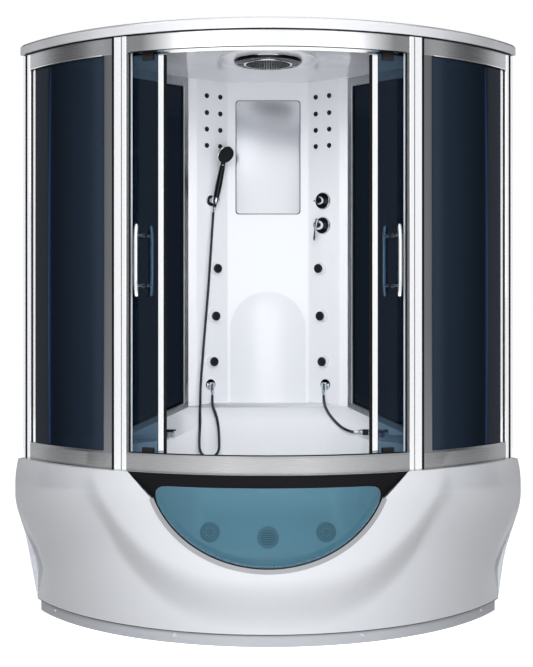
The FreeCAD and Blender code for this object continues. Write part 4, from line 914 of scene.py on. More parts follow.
@dataclass
class Apron:
    """The moulded skirt: side bellies that fall back under a crease, and a bowl that carries the window."""

    low: float = 0.045
    high: float = 0.601
    wall: float = 0.006
    columns: int = 150
    rows: int = 72
    window_half: float = 0.433
    window_drop: float = 0.356
    window_z: float = 0.631
    window_tip: float = 0.410
    window_top: float = 0.511
    window_steps: int = 80
    knife: tuple[float, float] = (-0.9, -0.36)
    overrun: float = 0.01
    side_gap: float = 0.0003
    end_start: float = 50.0
    band_steps: int = 120
    band_lift: float = 0.0022
    band_root: float = 0.003
    # the dark strip at the skirt's foot is a painted shadow line
    shadow_inset: float = 0.004
    shadow_section: Profile = ((-0.006, -0.0022), (0.0006, -0.0022), (0.0006, 0.0008), (-0.006, 0.0008))
    # the outer face, in millimetres and degrees
    foot_offset: float = 160.0
    foot_radius: float = 1040.0
    side_turn: tuple[float, float] = (26.0, 24.0)
    side_low: tuple[float, float] = (300.0, 160.0)
    side_high: tuple[float, float] = (575.0, 105.0)
    belly: tuple[float, float, float, float] = (1230.0, 14.0, 505.0, 96.0)
    bowl: tuple[float, float, float, float] = (1216.0, 34.0, 300.0, 301.0)
    bowl_foot: tuple[float, float, float] = (60.0, 221.0, 527.0)
    bowl_rise: float = 190.0
    fade: float = 100.0
    blend: float = 60.0
    least: float = 1e-6
    # passes that find the angle of a point of the window's edge
    rounds: int = 6

    def radius(self, degrees: float, z: float) -> float:
        """The outer face's radius at an angle and a height.

        The sums are in millimetres: a foot line, the side bellies and the bowl in front, joined softly.

        Args:
            degrees: the angle about the arc's middle.
            z: the height.

        Returns:
            The radius in metres.
        """
        turn, height = math.radians(degrees), z * 1000
        offset = self.foot_offset
        base = offset * math.cos(turn) + math.sqrt(self.foot_radius**2 - (offset * math.sin(turn)) ** 2)
        across = min(max((abs(degrees) - self.side_turn[0]) / self.side_turn[1], 0.0), 1.0)
        low, high = (level - drop * across for level, drop in (self.side_low, self.side_high))
        full, tuck, tuck_z, tuck_rise = self.belly
        belly = full - tuck * (max(height - tuck_z, 0) / tuck_rise) ** 2
        side = base + (belly - base) * smooth_step((height - low) / (high - low))
        rim, swell, swell_z, swell_rise = self.bowl
        top = rim + swell * (1 - (max(height - swell_z, 0) / swell_rise) ** 2)
        lip, climb, half = self.bowl_foot
        foot = lip + climb * abs(base * math.sin(turn) / half) ** 3
        bowl = base + (top - base) * smooth_step((height - foot) / self.bowl_rise)
        reach = max(side, bowl)
        fade = min(max(min(height - self.low * 1000, self.high * 1000 - height) / self.fade, 0.0), 1.0)
        soft = max(min(self.blend * fade, reach - base), self.least)
        return (reach + max(soft - abs(side - bowl), 0) ** 2 / (4 * soft)) / 1000

    def skin(self, inset: float) -> list[list[Vector]]:
        """One face of the wall as columns of points from end to end."""
        columns = []
        for i in range(self.columns + 1):
            share = 2 * i / self.columns - 1
            column = []
            for j in range(self.rows + 1):
                z = self.low + (self.high - self.low) * j / self.rows
                end = wall_angle(self.radius(self.end_start, z), self.side_gap)
                angle = end * share
                column.append(polar(self.radius(angle, z) - inset, angle, z))
            columns.append(column)
        return columns

    def turns(self, steps: int) -> list[float]:
        """The angles along the window's half ellipse, from tip to tip."""
        start = math.acos(self.window_tip / self.window_half)
        return [math.pi + start + (math.pi - 2 * start) * i / steps for i in range(steps + 1)]

    def rim(self, turn: float, grow: float = 0.0) -> tuple[float, float]:
        """The X and the height of a point on the window's half ellipse, or beside it."""
        return ((self.window_half + grow) * math.cos(turn),
                self.window_z + (self.window_drop + grow) * math.sin(turn))

    def cutter(self) -> Shape:
        """The prism that opens the window: a half ellipse with a notch at each side of its top."""
        points = [self.rim(turn) for turn in self.turns(self.window_steps)]
        points += [(side * self.window_top, self.high + self.overrun) for side in (1, -1)]
        rings = [[Vector((x, y, z)) for x, z in points] for y in self.knife]
        return Shape("window_cutter", Look.ACRYLIC).rings(rings)

    def edge(self, turn: float, grow: float, lift: float) -> Vector:
        """A point beside the window's curved edge, off the outer face by a lift."""
        x, z = self.rim(turn, grow)
        degrees = 0.0
        for _ in range(self.rounds):
            degrees = math.degrees(math.asin(x / self.radius(degrees, z)))
        return polar(self.radius(degrees, z) + lift, degrees, z)

    def foot_line(self) -> None:
        """Draws a dark strip at the skirt's foot above the strip under it: a painted shadow line where the
        skirt's edge stands over the strip.
        """
        end = wall_angle(self.radius(self.end_start, self.low), self.shadow_inset)
        rings = []
        for i in range(self.columns + 1):
            angle = end * (2 * i / self.columns - 1)
            radius = self.radius(angle, self.low)
            rings.append([polar(radius + out, angle, self.low + up) for out, up in self.shadow_section])
        Shape("apron_foot_shadow", Look.STEEL).rings(rings).build("enclosure", "gasket")

    def surround(self, name: str, look: Look, slot: str, grows: tuple[float, float]) -> None:
        """Lays a flat band along the window's curved edge.

        Args:
            name: the band's name.
            look: its finish.
            slot: the record's material slot.
            grows: how far its two edges lie outside the window's.
        """
        inner, outer = grows
        top, root = self.band_lift, -self.band_root
        corners = ((inner, top), (outer, top), (outer, root), (inner, root))
        rings = [[self.edge(turn, grow, lift) for grow, lift in corners]
                 for turn in self.turns(self.band_steps)]
        Shape(name, look).rings(rings).build("enclosure", slot)

    def build(self) -> bpy.types.Object:
        """Makes the skirt as a thin wall and cuts its window."""
        rings = [out + into[::-1] for out, into in zip(self.skin(0.0), self.skin(self.wall))]
        work = stand("apron_work", Shape("apron_work", Look.ACRYLIC).rings(rings).mesh(split=True))
        knife = stand("knife", self.cutter().mesh())
        cut = work.modifiers.new("window", "BOOLEAN")
        cut.operation, cut.solver, cut.object = "DIFFERENCE", "EXACT", knife
        result = plain_copy(work)
        bpy.data.objects.remove(work)
        bpy.data.objects.remove(knife)
        return settle("apron_skin", result, Look.ACRYLIC, "enclosure", 32, ("tub_apron",))


# ---------------------------------------------------------------- column and its fittings


@dataclass
class Column:
    """The white wall column: a flat between two facets, with a crowned backrest."""

    wall: float = 0.005
    rest_half: float = 0.166
    rest_proud: float = 0.034
    rest_top: float = 1.249
    rest_edge: float = 0.150
    rest_power: float = 1.9
    soften: float = 0.004
    grid_x: float = 0.0039
    grid_z: float = 0.006
    grid_top: float = 1.27
    rows_above: int = 8
    micro_x: tuple[float, float] = (0.210, 0.267)
    micro_z: tuple[float, ...] = (1.887, 1.958, 2.030, 2.104)
    mirror_half: float = 0.1415
    mirror_low: float = 1.592
    mirror_high: float = 2.091
    mirror_corner: float = 0.014
    corner_steps: int = 8

    def plan(self, x: float) -> float:
        """The front face's depth at an X, before its folds are softened."""
        places = (COLUMN_FLAT, COLUMN_FOLD, COLUMN_EDGE)
        x = abs(x)
        if x <= COLUMN_FLAT[0]:
            return COLUMN_FLAT[1]
        for (x0, d0), (x1, d1) in zip(places, places[1:]):
            if x <= x1:
                return d0 + (d1 - d0) * (x - x0) / (x1 - x0)
        return COLUMN_EDGE[1]

    def depth(self, x: float) -> float:
        """The front face's depth at an X with soft folds."""
        return (self.plan(x - self.soften) + 2 * self.plan(x) + self.plan(x + self.soften)) / 4

    def proud(self, x: float, z: float) -> float:
        """How far the backrest stands out at a place."""
        centre = self.rest_top - self.rest_half
        inside = self.rest_half - (abs(x) if z < centre else math.hypot(x, z - centre))
        share = min(max(inside / self.rest_edge, 0.0), 1.0)
        return self.rest_proud * (1 - (1 - share) ** self.rest_power)

    def build(self) -> None:
        """Makes the column, its mirror and its small jets."""
        low, high = (corner.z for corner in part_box("column_panel"))
        half, top = COLUMN_EDGE[0], self.grid_top
        xs = [round(-half + self.grid_x * i, 5) for i in range(round(2 * half / self.grid_x) + 1)]
        zs = [low + self.grid_z * i for i in range(int((top - low) / self.grid_z))]
        zs += [top + (high - top) * i / self.rows_above for i in range(self.rows_above + 1)]
        rings = []
        for x in xs:
            base = FRONT_Y + self.depth(x)
            front = [Vector((x, base - self.proud(x, z), z)) for z in zs]
            rings.append(front + [Vector((x, base + self.wall, z)) for z in reversed(zs)])
        skin = Shape("column_skin", Look.COLUMN).rings(rings)
        skin.build("enclosure", "acrylic", smooth=50, replaces=("column_panel",))
        self.mirror()
        dots = Studs("micro_jet_studs", Look.BLACK_SATIN, 20)
        rims = Studs("micro_jet_rims", Look.BLACK_GLOSS, 20)
        for side in (-1, 1):
            dots.places += [facet(side * x, z) for x in self.micro_x for z in self.micro_z]
        rims.places = dots.places
        rims.build("enclosure", "black_plastic", foot=0.0112, top=0.0100, height=0.003)
        dots.build("enclosure", "black_plastic", foot=0.0088, top=0.0072, height=0.006,
                   replaces=("micro_jets",))

    def mirror(self) -> None:
        """Makes the mirror on its narrow dark edge, which stands for the glass's own edge and the painted
        shade round the mirror.
        """
        y = FRONT_Y + COLUMN_FLAT[1]
        corner = self.mirror_corner
        for name, look, grow, thick, replaces in (
            # the dark edge is partly the glass's own edge and partly painted shade round the mirror
            ("mirror_edge_and_shade", Look.BLACK_GLOSS, 0.0016, 0.0034, ()),
            ("mirror_face", Look.MIRROR, -0.0012, 0.005, ("mirror",)),
        ):
            half, low, high = self.mirror_half + grow, self.mirror_low - grow, self.mirror_high + grow
            outline = []
            for cx, cz, start in ((half - corner, high - corner, 0), (-half + corner, high - corner, 90),
                                  (-half + corner, low + corner, 180), (half - corner, low + corner, 270)):
                for i in range(self.corner_steps + 1):
                    angle = math.radians(start + 90 * i / self.corner_steps)
                    outline.append((cx + corner * math.cos(angle), cz + corner * math.sin(angle)))
            rings = [[Vector((x, depth, z)) for x, z in outline] for depth in (y, y - thick)]
            Shape(name, look).rings(rings).build("enclosure", "mirror", 0.0008, replaces=replaces)


@dataclass
class BodyJets:
    """Six tilting body jets: a black domed head with soft nozzles on a ball neck."""

    places: tuple[tuple[float, float, str], ...] = ((0.247, 0.943, "low"), (0.239, 1.142, "middle"),
                                                    (0.232, 1.350, "high"))
    head: float = 0.020
    foot: Profile = ((0, 0.003), (0.0068, 0.003), (0.0068, 0.0145), (0.012, 0.0162), (0.0172, 0.0170))
    dome: Profile = ((1.0, 0.0195), (1.0, 0.0245), (0.96, 0.0268), (0.80, 0.0280), (0.74, 0.0270),
                     (0.5, 0.0275), (0, 0.0282))
    band: Profile = ((0.0200, 0.0190), (0.0204, 0.0195), (0.0204, 0.0208), (0.0200, 0.0212), (0.0190, 0.0212),
                     (0.0190, 0.0190))
    nozzle_rings: tuple[tuple[float, int], ...] = ((0.0115, 10), (0.0062, 6))
    nozzle_foot: float = 0.0268

    def build(self) -> None:
        """Makes each jet on its own body."""
        profile = (*self.foot, *((share * self.head, height) for share, height in self.dome))
        for side, word in SIDES:
            for x, z, level in self.places:
                place, facing = facet(side * x, z)
                name = f"body_jet_{word}_{level}"
                turned(name + "_head", Look.BLACK_SATIN, profile, place, facing, 40, name, "black_plastic",
                       (name,))
                dots = Studs(name + "_nozzles", Look.RUBBER, 8)
                for radius, count in self.nozzle_rings:
                    spots = ring_spots(place + facing * self.nozzle_foot, facing, radius, count)
                    dots.places += [(spot, facing) for spot in spots]
                dots.build(name, "black_plastic", foot=0.0011, top=0.0008, height=0.0016)
                turned(name + "_band", Look.CHROME, self.band, place, facing, 40, name, "chrome")


@dataclass
class Valves:
    """The diverter knob and the mixer's lever on their rosettes."""

    x: float = 0.242
    diverter_z: float = 1.646
    mixer_z: float = 1.538
    foot: float = 0.0103
    knob: Profile = ((0, 0), (0.0150, 0), (0.017, 0.002), (0.017, 0.024), (0.0150, 0.029), (0.010, 0.030),
                     (0, 0.030))
    cap: Profile = ((0, 0.0300), (0.0098, 0.0300), (0.0086, 0.0316), (0, 0.0322))
    stem: tuple[float, float, float] = (0.015, 0.010, 0.024)
    stem_radii: tuple[float, float, float] = (0.0034, 0.0016, 0.0036)
    hub: Profile = ((0, 0), (0.0195, 0), (0.020, 0.002), (0.020, 0.030), (0.0186, 0.042), (0.0150, 0.0480),
                    (0, 0.0505))
    lever_turn: float = -8.0
    lever_run: tuple[float, float] = (-0.029, 0.0975)
    lever_rise: tuple[float, float] = (0.0480, 0.003)
    lever_half: tuple[float, float, float] = (0.0085, 0.0030, 0.0006)
    lever_waist: float = 1.2
    lever_thick: float = 0.0034
    lever_tip: float = 0.35
    rosette: Profile = ((0, 0.0098), (0.0392, 0.0002), (0.0394, 0.0025), (0.0375, 0.0068), (0.0345, 0.0097),
                        (0.0290, 0.0101), (0.0230, 0.0101), (0.0222, 0.0100))
    ring: Profile = ((0.0300, 0.0097), (0.0345, 0.0095), (0.0348, 0.0102), (0.0325, 0.0106), (0.0300, 0.0104))

    def diverter(self) -> None:
        """Makes the diverter's knob with its short stem and its cap."""
        place, facing = facet(self.x, self.diverter_z)
        foot = place + facing * self.foot
        along = frame_of(facing)[0]
        height, start, length = self.stem
        root, grow, tip = self.stem_radii
        path = [foot + facing * height - along * (start + length * i / 12) for i in range(13)]
        knob = Shape("diverter_handle", Look.CHROME).lathe(self.knob, foot, facing, 40)
        knob.sweep(path, lambda t: root + grow * t if t < 1 else tip, 16)
        knob.build("diverter_knob", "chrome", replaces=("diverter_knob",))
        turned("diverter_cap", Look.BLACK_GLOSS, self.cap, foot, facing, 32, "diverter_knob", "chrome")

    def mixer(self, steps: int = 16, sides: int = 20) -> None:
        """Makes the mixer's hub with its flat waisted lever."""
        place, facing = facet(self.x, self.mixer_z)
        foot = place + facing * self.foot
        along, across, _ = frame_of(facing)
        turn = math.radians(self.lever_turn)
        down = across * -math.cos(turn) + along * math.sin(turn)
        sideways = facing.cross(down)
        begin, length = self.lever_run
        rise, arch = self.lever_rise
        wide, waist, flare = self.lever_half
        section = circle(1.0, sides)
        rings = []
        for i in range(steps + 1):
            share = i / steps
            height = rise + arch * math.sin(math.pi * share)
            point = foot + facing * height + down * (begin + length * share)
            half = wide - waist * math.sin(math.pi * min(share * self.lever_waist, 1.0)) + flare * share
            tip = self.lever_tip if i in (0, steps) else 1.0
            rings.append([point + (sideways * (half * p.x) + facing * (self.lever_thick * p.y)) * tip
                          for p in section])
        lever = Shape("mixer_handle", Look.CHROME).lathe(self.hub, foot, facing, 40).rings(rings)
        lever.build("mixer_lever", "chrome", replaces=("mixer_lever",))

    def build(self) -> None:
        """Makes both handles and the rosettes' stepped faces."""
        self.diverter()
        self.mixer()
        for name, z in (("diverter", self.diverter_z), ("mixer", self.mixer_z)):
            place, facing = facet(self.x, z)
            turned(name + "_rosette", Look.CHROME, self.rosette, place, facing, 56, "enclosure", "chrome")
            turned(name + "_ring", Look.BLACK_GLOSS, self.ring, place, facing, 56, "enclosure", "chrome")


@dataclass
class Handset:
    """The hand shower: a slim black grip with a neck and a rimmed round head, and its holder."""

    holder_x: float = -0.252
    holder_z: float = 1.646
    reach: float = 0.0433
    lean: float = 14.0
    slant: float = 12.0
    tilt: float = 62.0
    length: float = 0.180
    head: float = 0.036
    head_height: float = 0.022
    head_set: float = 0.67
    head_grow: float = 1.09
    grip: Profile = ((0, -0.028), (0.0078, -0.028), (0.0085, -0.018), (0.0112, -0.011), (0.0114, 0.001),
                     (0.0128, 0.013), (0.0138, 0.03), (0.0142, 0.07), (0.0136, 0.105), (0.0122, 0.140),
                     (0.0108, 0.158), (0.0094, 0.168), (0, 0.169))
    neck: tuple[float, float, float, float] = (0.162, 0.184, 0.011, 0.005)
    neck_radii: tuple[float, float] = (0.0098, 0.0012)
    collar: Profile = ((0.0102, 0.1560), (0.0117, 0.1566), (0.0117, 0.1584), (0.0102, 0.1590))
    bowl: Profile = ((0, 0), (0.014, 0.0005), (0.024, 0.003), (0.031, 0.0075), (0.0345, 0.0130),
                     (0.0350, 0.0160), (0.030, 0.0175), (0, 0.0175))
    rim: Profile = ((0.0340, 0.0110), (0.0358, 0.0125), (0.0364, 0.0160), (0.0358, 0.0196), (0.0346, 0.0204),
                    (0.0338, 0.0196), (0.0338, 0.0150), (0.0325, 0.0120))
    face: Profile = ((0, 0.0170), (0.0341, 0.0170), (0.0341, 0.0200), (0.0330, 0.0210), (0.0300, 0.0206),
                     (0.0180, 0.0210), (0, 0.0212))
    nozzle_rings: tuple[tuple[float, int], ...] = ((0.027, 24), (0.021, 18), (0.0145, 12), (0.008, 6))
    nozzle_foot: float = 0.0202
    cup: Profile = ((0.0126, -0.013), (0.0152, -0.0130), (0.0162, -0.0115), (0.0168, 0.0), (0.0172, 0.0115),
                    (0.0166, 0.0130), (0.0146, 0.0130), (0.0140, 0.0115), (0.0124, 0.0))
    joint: Profile = ((0, 0.0223), (0.0078, 0.0223), (0.0080, 0.024), (0.0074, 0.0300), (0, 0.0300))
    rosette: Profile = ((0.0238, 0.0002), (0.0244, 0.0020), (0.0232, 0.0058), (0.0200, 0.0074),
                        (0.0130, 0.0078), (0.0098, 0.0100), (0.0094, 0.0100), (0.0094, 0.0002))
    band: Profile = ((0.0150, 0.0074), (0.0205, 0.0070), (0.0206, 0.0078), (0.0180, 0.0084), (0.0150, 0.0082))

    def build(self) -> None:
        """Makes the grip, the neck, the head with its nozzles, and the holder."""
        origin, facing_out = facet(self.holder_x, self.holder_z)
        pivot = origin + facing_out * self.reach
        lean, slant, tilt = (math.radians(angle) for angle in (self.lean, self.slant, self.tilt))
        axis = Vector((math.sin(slant), -math.sin(lean), math.cos(lean))).normalized()
        facing = (facing_out * math.sin(tilt) - UP * math.cos(tilt)).normalized()
        centre = pivot + axis * (self.length + self.head * self.head_set) - facing * (self.head_height / 2)
        turned("handset_grip", Look.BLACK_GLOSS, self.grip, pivot, axis, 32, "handset", "black_plastic",
               ("handset",))
        first, second, drop, into = self.neck
        start, back = pivot + axis * first, centre + facing * into
        turn_in = pivot + axis * second - facing * drop
        path = [start, start.lerp(turn_in, 0.35), start.lerp(turn_in, 0.7), turn_in, turn_in.lerp(back, 0.5),
                back]
        thin, swell = self.neck_radii
        neck = Shape("handset_neck", Look.BLACK_GLOSS)
        neck.sweep(path, lambda t: thin + swell * math.sin(math.pi * t), 24).build("handset", "black_plastic")
        turned("handset_collar", Look.CHROME, self.collar, pivot, axis, 32, "handset", "chrome")
        for name, look, profile, sides, slot in (
            ("handset_bowl", Look.BLACK_GLOSS, self.bowl, 56, "black_plastic"),
            ("handset_rim", Look.CHROME, self.rim, 64, "chrome"),
            ("handset_face", Look.BLACK_SATIN, self.face, 56, "black_plastic"),
        ):
            wide = [(radius * self.head_grow, height) for radius, height in profile]
            turned(name, look, wide, centre, facing, sides, "handset", slot)
        dots = Studs("handset_nozzles", Look.RUBBER, 8)
        for radius, count in self.nozzle_rings:
            spots = ring_spots(centre + facing * self.nozzle_foot, facing, radius * self.head_grow, count)
            dots.places += [(spot, facing) for spot in spots]
        dots.build("handset", "black_plastic", foot=0.0013, top=0.0009, height=0.0022)
        cradle = Shape("handset_cup", Look.CHROME).lathe(self.cup, pivot, axis, 40)
        cradle.lathe(self.joint, origin, facing_out, 32)
        cradle.build("handset", "chrome", replaces=("handset_cradle",))
        turned("holder_rosette", Look.CHROME, self.rosette, origin, facing_out, 56, "enclosure", "chrome")
        turned("holder_band", Look.BLACK_GLOSS, self.band, origin, facing_out, 48, "enclosure", "chrome")


@dataclass
class RainHead:
    """The ceiling's rain head: a white ring, a slotted body and a black face full of nozzles."""

    depth: float = 0.690
    z: float = 2.190
    ring: float = 0.198
    body: float = 0.138
    face: float = 0.094
    sides: int = 96
    slots: int = 12
    slot_turn: tuple[float, float] = (4.0, 26.0)
    slot_section: Profile = ((0.099, 0.0200), (0.126, 0.0200), (0.126, 0.0212), (0.099, 0.0212))
    nozzle_rows: int = 8
    nozzle_step: float = 0.0105
    nozzle_foot: float = 0.0238

    def build(self) -> None:
        """Makes the ring, the body with its slots, the face and its nozzles."""
        centre = Vector((0.0, FRONT_Y + self.depth, self.z))
        down, ring, body, face = -UP, self.ring, self.body, self.face
        turned("rain_ring", Look.ROOF, (
            (0, 0), (ring, 0), (ring, 0.0012), (ring - 0.003, 0.0036), (ring - 0.006, 0.004),
            (body + 0.002, 0.0042), (0, 0.0042),
        ), centre, down, self.sides, "enclosure", "acrylic", ("rain_head",))
        turned("rain_body", Look.BLACK_GLOSS, (
            (0, 0.004), (body, 0.004), (body, 0.013), (body - 0.004, 0.0185), (body - 0.010, 0.0205),
            (face + 0.004, 0.0205), (0, 0.0205),
        ), centre, down, self.sides, "enclosure", "chrome")
        rims = Shape("rain_rims", Look.CHROME)
        for radius, top in ((body, 0.0085), (face + 0.003, 0.0225)):
            rims.lathe((
                (radius - 0.002, top - 0.003), (radius + 0.0012, top - 0.003), (radius + 0.002, top - 0.001),
                (radius + 0.0012, top + 0.001), (radius - 0.002, top + 0.001),
            ), centre, down, self.sides)
        rims.build("enclosure", "chrome")
        turned("rain_face", Look.BLACK_SATIN, (
            (0, 0.0204), (face, 0.0204), (face, 0.0222), (face - 0.004, 0.0240), (0, 0.0240),
        ), centre, down, self.sides, "enclosure", "black_plastic")
        self.cut_slots(centre)
        self.nozzles(centre, down)

    def cut_slots(self, centre: Vector, steps: int = 8) -> None:
        """Lays the dark slots round the body's lower face."""
        shape = Shape("rain_slots", Look.BLACK_SATIN)
        start, end = self.slot_turn
        for slot in range(self.slots):
            rings = []
            for i in range(steps + 1):
                turn = math.radians(360 / self.slots * slot + start + (end - start) * i / steps)
                way = Vector((math.cos(turn), math.sin(turn), 0.0))
                rings.append([centre + way * radius - UP * height for radius, height in self.slot_section])
            shape.rings(rings)
        shape.build("enclosure", "black_plastic")

    def nozzles(self, centre: Vector, down: Vector) -> None:
        """Stands the nozzles on the face in rings, every other ring turned by half a step."""
        dots = Studs("rain_nozzles", Look.BLACK_SATIN, 8)
        for row in range(1, self.nozzle_rows + 1):
            count = 6 * row
            for i in range(count):
                turn = 2 * math.pi * (i + 0.5 * (row % 2)) / count
                way = Vector((math.cos(turn), math.sin(turn), 0.0))
                dots.places.append((centre + way * (self.nozzle_step * row) + down * self.nozzle_foot, down))
        dots.build("enclosure", "black_plastic", foot=0.0022, top=0.0014, height=0.0035)


# ---------------------------------------------------------------- posts, doors, tub, trim


@dataclass
class Posts:
    """The strips of the front posts, the header and the sill: grey faces, black seals, thin lines, and a
    painted highlight along the header's lower edge.
    """

    heights: tuple[float, float] = (0.602, 2.156)
    bevel: float = 0.0003

    def build(self) -> None:
        """Makes the upright strips on both sides and the strips that lie along the arc."""
        for name, look, angles, radii, slot in (
            ("post_grey_strip", Look.GREY_STRIP, (28.02, 29.92), (1.1915, 1.1928), "satin_aluminium"),
            ("post_black_seal", Look.RUBBER, (27.55, 27.99), (1.1915, 1.1990), "gasket"),
            ("post_groove", Look.GREY_STRIP, (25.95, 26.12), (1.1975, 1.1984), "satin_aluminium"),
            ("post_inner_seal", Look.SEAL, (24.85, 25.08), (1.1620, 1.1760), "gasket"),
            ("post_inner_lip", Look.RUBBER, (24.72, 25.08), (1.1780, 1.1800), "gasket"),
            ("fixed_glass_bead_front", Look.RUBBER, (30.02, 30.30), (1.1832, 1.1850), "gasket"),
            ("profile_bead_front", Look.RUBBER, (49.70, 49.98), (1.1832, 1.1850), "gasket"),
            ("profile_shadow_gap", Look.RUBBER, (51.05, 51.75), (1.1938, 1.1946), "satin_aluminium"),
            ("glass_end_strip", Look.SIDE_PROFILE, (48.80, 49.55), (1.1832, 1.1850), "satin_aluminium"),
        ):
            for side, word in SIDES:
                strip = Shape(f"{name}_{word}", look)
                strip.arc_bar(bar_section(radii, self.heights), side * angles[0], side * angles[1], 4)
                strip.build("enclosure", slot, self.bevel)
        for name, look, slot, radii, heights, angles in (
            ("roof_shadow_line", Look.RUBBER, "gasket", (1.1880, 1.2010), (2.1568, 2.1598), (-51.0, 51.0)),
            ("header_doorway_line", Look.RUBBER, "gasket", (1.1934, 1.1950), (2.0962, 2.0994), (-24.4, 24.4)),
            ("doorway_sill_line", Look.RUBBER, "gasket", (1.1840, 1.1900), (0.6660, 0.6692), (-24.4, 24.4)),
            # a pale strip along the header's lower edge: a painted highlight line
            ("header_highlight_left", Look.LIT_PROFILE, "satin_aluminium", (1.1934, 1.1952), (2.0958, 2.0992),
             (-49.6, -30.3)),
            ("header_highlight_right", Look.LIT_PROFILE, "satin_aluminium", (1.1934, 1.1952), (2.0958, 2.0992),
             (30.3, 49.6)),
        ):
            line = Shape(name, look).arc_bar(bar_section(radii, heights), *angles)
            line.build("enclosure", slot, self.bevel)


@dataclass
class Doors:
    """The sliding doors' bowed chrome handles, dark edge seals, pale trailing seals and lower guides."""

    angle: float = 22.9
    radius: float = 1.150
    standoff: float = 0.052
    bow: float = 0.006
    low: float = 1.226
    length: float = 0.256
    bow_rise: float = 1.6
    bar: float = 0.0072
    bar_steps: tuple[tuple[float, float], ...] = ((0.02, 0.72), (0.05, 0.93))
    foot_inset: float = 0.038
    foot_start: float = 0.0033
    foot_gap: float = 0.004
    cup: Profile = ((0, 0), (0.0105, 0), (0.0105, 0.0026), (0.0090, 0.0042), (0.0056, 0.0062), (0, 0.0064))
    seal_heights: tuple[float, float] = (0.658, 2.088)
    guide_angles: tuple[float, float] = (18.7, 20.0)
    guide_radii: tuple[float, float] = (1.1400, 1.1560)
    guide_heights: tuple[float, float] = (0.655, 0.700)

    def girth(self, share: float) -> float:
        """A bar's radius along its length, with a stepped cap at each end."""
        for reach, part in self.bar_steps:
            if min(share, 1 - share) < reach:
                return self.bar * part
        return self.bar

    def handle(self, side: int, word: str, steps: int = 32) -> None:
        """Makes both bars of a door's handle with their feet, collars and end caps."""
        shape = Shape(f"door_{word}_bars", Look.CHROME)
        feet = Shape(f"door_{word}_bar_feet", Look.BLACK_GLOSS)
        angle = side * self.angle
        long = self.standoff + self.bow - self.foot_gap
        stem = ((0, 0.0060), (0.0050, 0.0060), (0.0050, 0.012), (0.0050, long * 0.8), (0.0066, long),
                (0, long))
        for face in (-1, 1):
            path = []
            for i in range(steps + 1):
                share = i / steps
                bow = self.bow * min(1.0, 4 * share * (1 - share) * self.bow_rise)
                path.append(polar(self.radius + face * (self.standoff + bow), angle,
                                  self.low + self.length * share))
            shape.sweep(path, self.girth, 24)
            for z in (self.low + self.foot_inset, self.low + self.length - self.foot_inset):
                start, way = polar(self.radius + face * self.foot_start, angle, z), outward(angle) * face
                feet.lathe(self.cup, start, way, 24)
                shape.lathe(stem, start, way, 24)
        shape.build(f"door_{word}", "chrome", replaces=(f"door_{word}_handle",))
        feet.build(f"door_{word}", "chrome")

    def build(self) -> None:
        """Makes the handles, the seals and the lower guide blocks of both doors."""
        for side, word in SIDES:
            self.handle(side, word)
            for name, look, angles, radii in (
                ("lead_seal", Look.RUBBER, (18.47, 18.80), (1.1426, 1.1574)),
                ("glass_seal", Look.RUBBER, (19.88, 20.05), (1.1424, 1.1432)),
                ("trail_seal", Look.SEAL, (46.50, 46.78), (1.1426, 1.1434)),
            ):
                shape = Shape(f"door_{word}_{name}", look)
                shape.arc_bar(bar_section(radii, self.seal_heights), side * angles[0], side * angles[1], 4)
                shape.build(f"door_{word}", "gasket")
            start, end = self.guide_angles
            foot = Shape(f"door_{word}_foot", Look.BLACK_SATIN)
            foot.arc_bar(bar_section(self.guide_radii, self.guide_heights), side * start, side * end, 3)
            foot.build(f"door_{word}", "black_plastic", 0.001)


@dataclass
class TubJets:
    """The basin's two turning jets with their flanges' rims, and the suction cover's grille."""

    x: float = 0.241
    z: float = 0.249
    nozzle: Profile = ((0, -0.006), (0.0228, -0.006), (0.0228, 0.005), (0.0215, 0.0075), (0.0150, 0.0135),
                       (0.0120, 0.0158), (0.0085, 0.0160), (0.0070, 0.0130), (0.0055, 0.0060), (0, 0.0060))
    ball: Profile = ((0, -0.0056), (0.0040, -0.0040), (0.0056, 0), (0.0040, 0.0040), (0, 0.0056))
    balls: int = 8
    ball_ring: float = 0.0168
    ball_rise: float = 0.0104
    flange: Profile = ((0.0402, 0.0002), (0.0414, 0.0020), (0.0402, 0.0052), (0.0370, 0.0068),
                       (0.0300, 0.0066), (0.0262, 0.0062), (0.0262, 0.0050))
    suction_z: float = 0.227
    suction_rim: Profile = ((0.0452, 0.0002), (0.0468, 0.0030), (0.0460, 0.0068), (0.0440, 0.0086),
                            (0.0425, 0.0080))
    slot_radius: float = 0.0335
    slot_step: float = 0.0090
    slot_rise: float = 0.0121
    slot_size: tuple[float, float] = (0.0034, 0.0010)
    slot_fill: float = 0.92

    def build(self) -> None:
        """Makes the nozzles with their round grips, whose pale finish paints their chrome highlights, the
        flanges' rims and the suction cover's grille.
        """
        for side, word in SIDES:
            place, facing = basin_wall(side * self.x, self.z)
            name = f"tub_jet_{word}"
            turned(name + "_nozzle", Look.PEWTER, self.nozzle, place, facing, 48, name, "chrome", (name,))
            # the grips' pale finish paints the chrome's highlights
            grips = Shape(name + "_grips", Look.LIT_PROFILE)
            for spot in ring_spots(place + facing * self.ball_rise, facing, self.ball_ring, self.balls):
                grips.lathe(self.ball, spot, facing, 12)
            grips.build(name, "chrome", smooth=70)
            turned(name + "_flange_rim", Look.PEWTER, self.flange, place, facing, 56, "enclosure", "chrome")
        place, facing = basin_wall(0.0, self.suction_z)
        along, across, _ = frame_of(facing)
        holes = Shape("suction_slots", Look.BLACK_GLOSS)
        for row in range(-3, 4):
            offset = row * self.slot_step
            half = math.sqrt(self.slot_radius**2 - offset**2) * self.slot_fill
            holes.block(place + facing * self.slot_rise + across * offset, (2 * half, *self.slot_size),
                        (along, across, facing))
        holes.build("enclosure", "black_plastic")
        turned("suction_rim", Look.CHROME, self.suction_rim, place, facing, 56, "enclosure", "chrome")


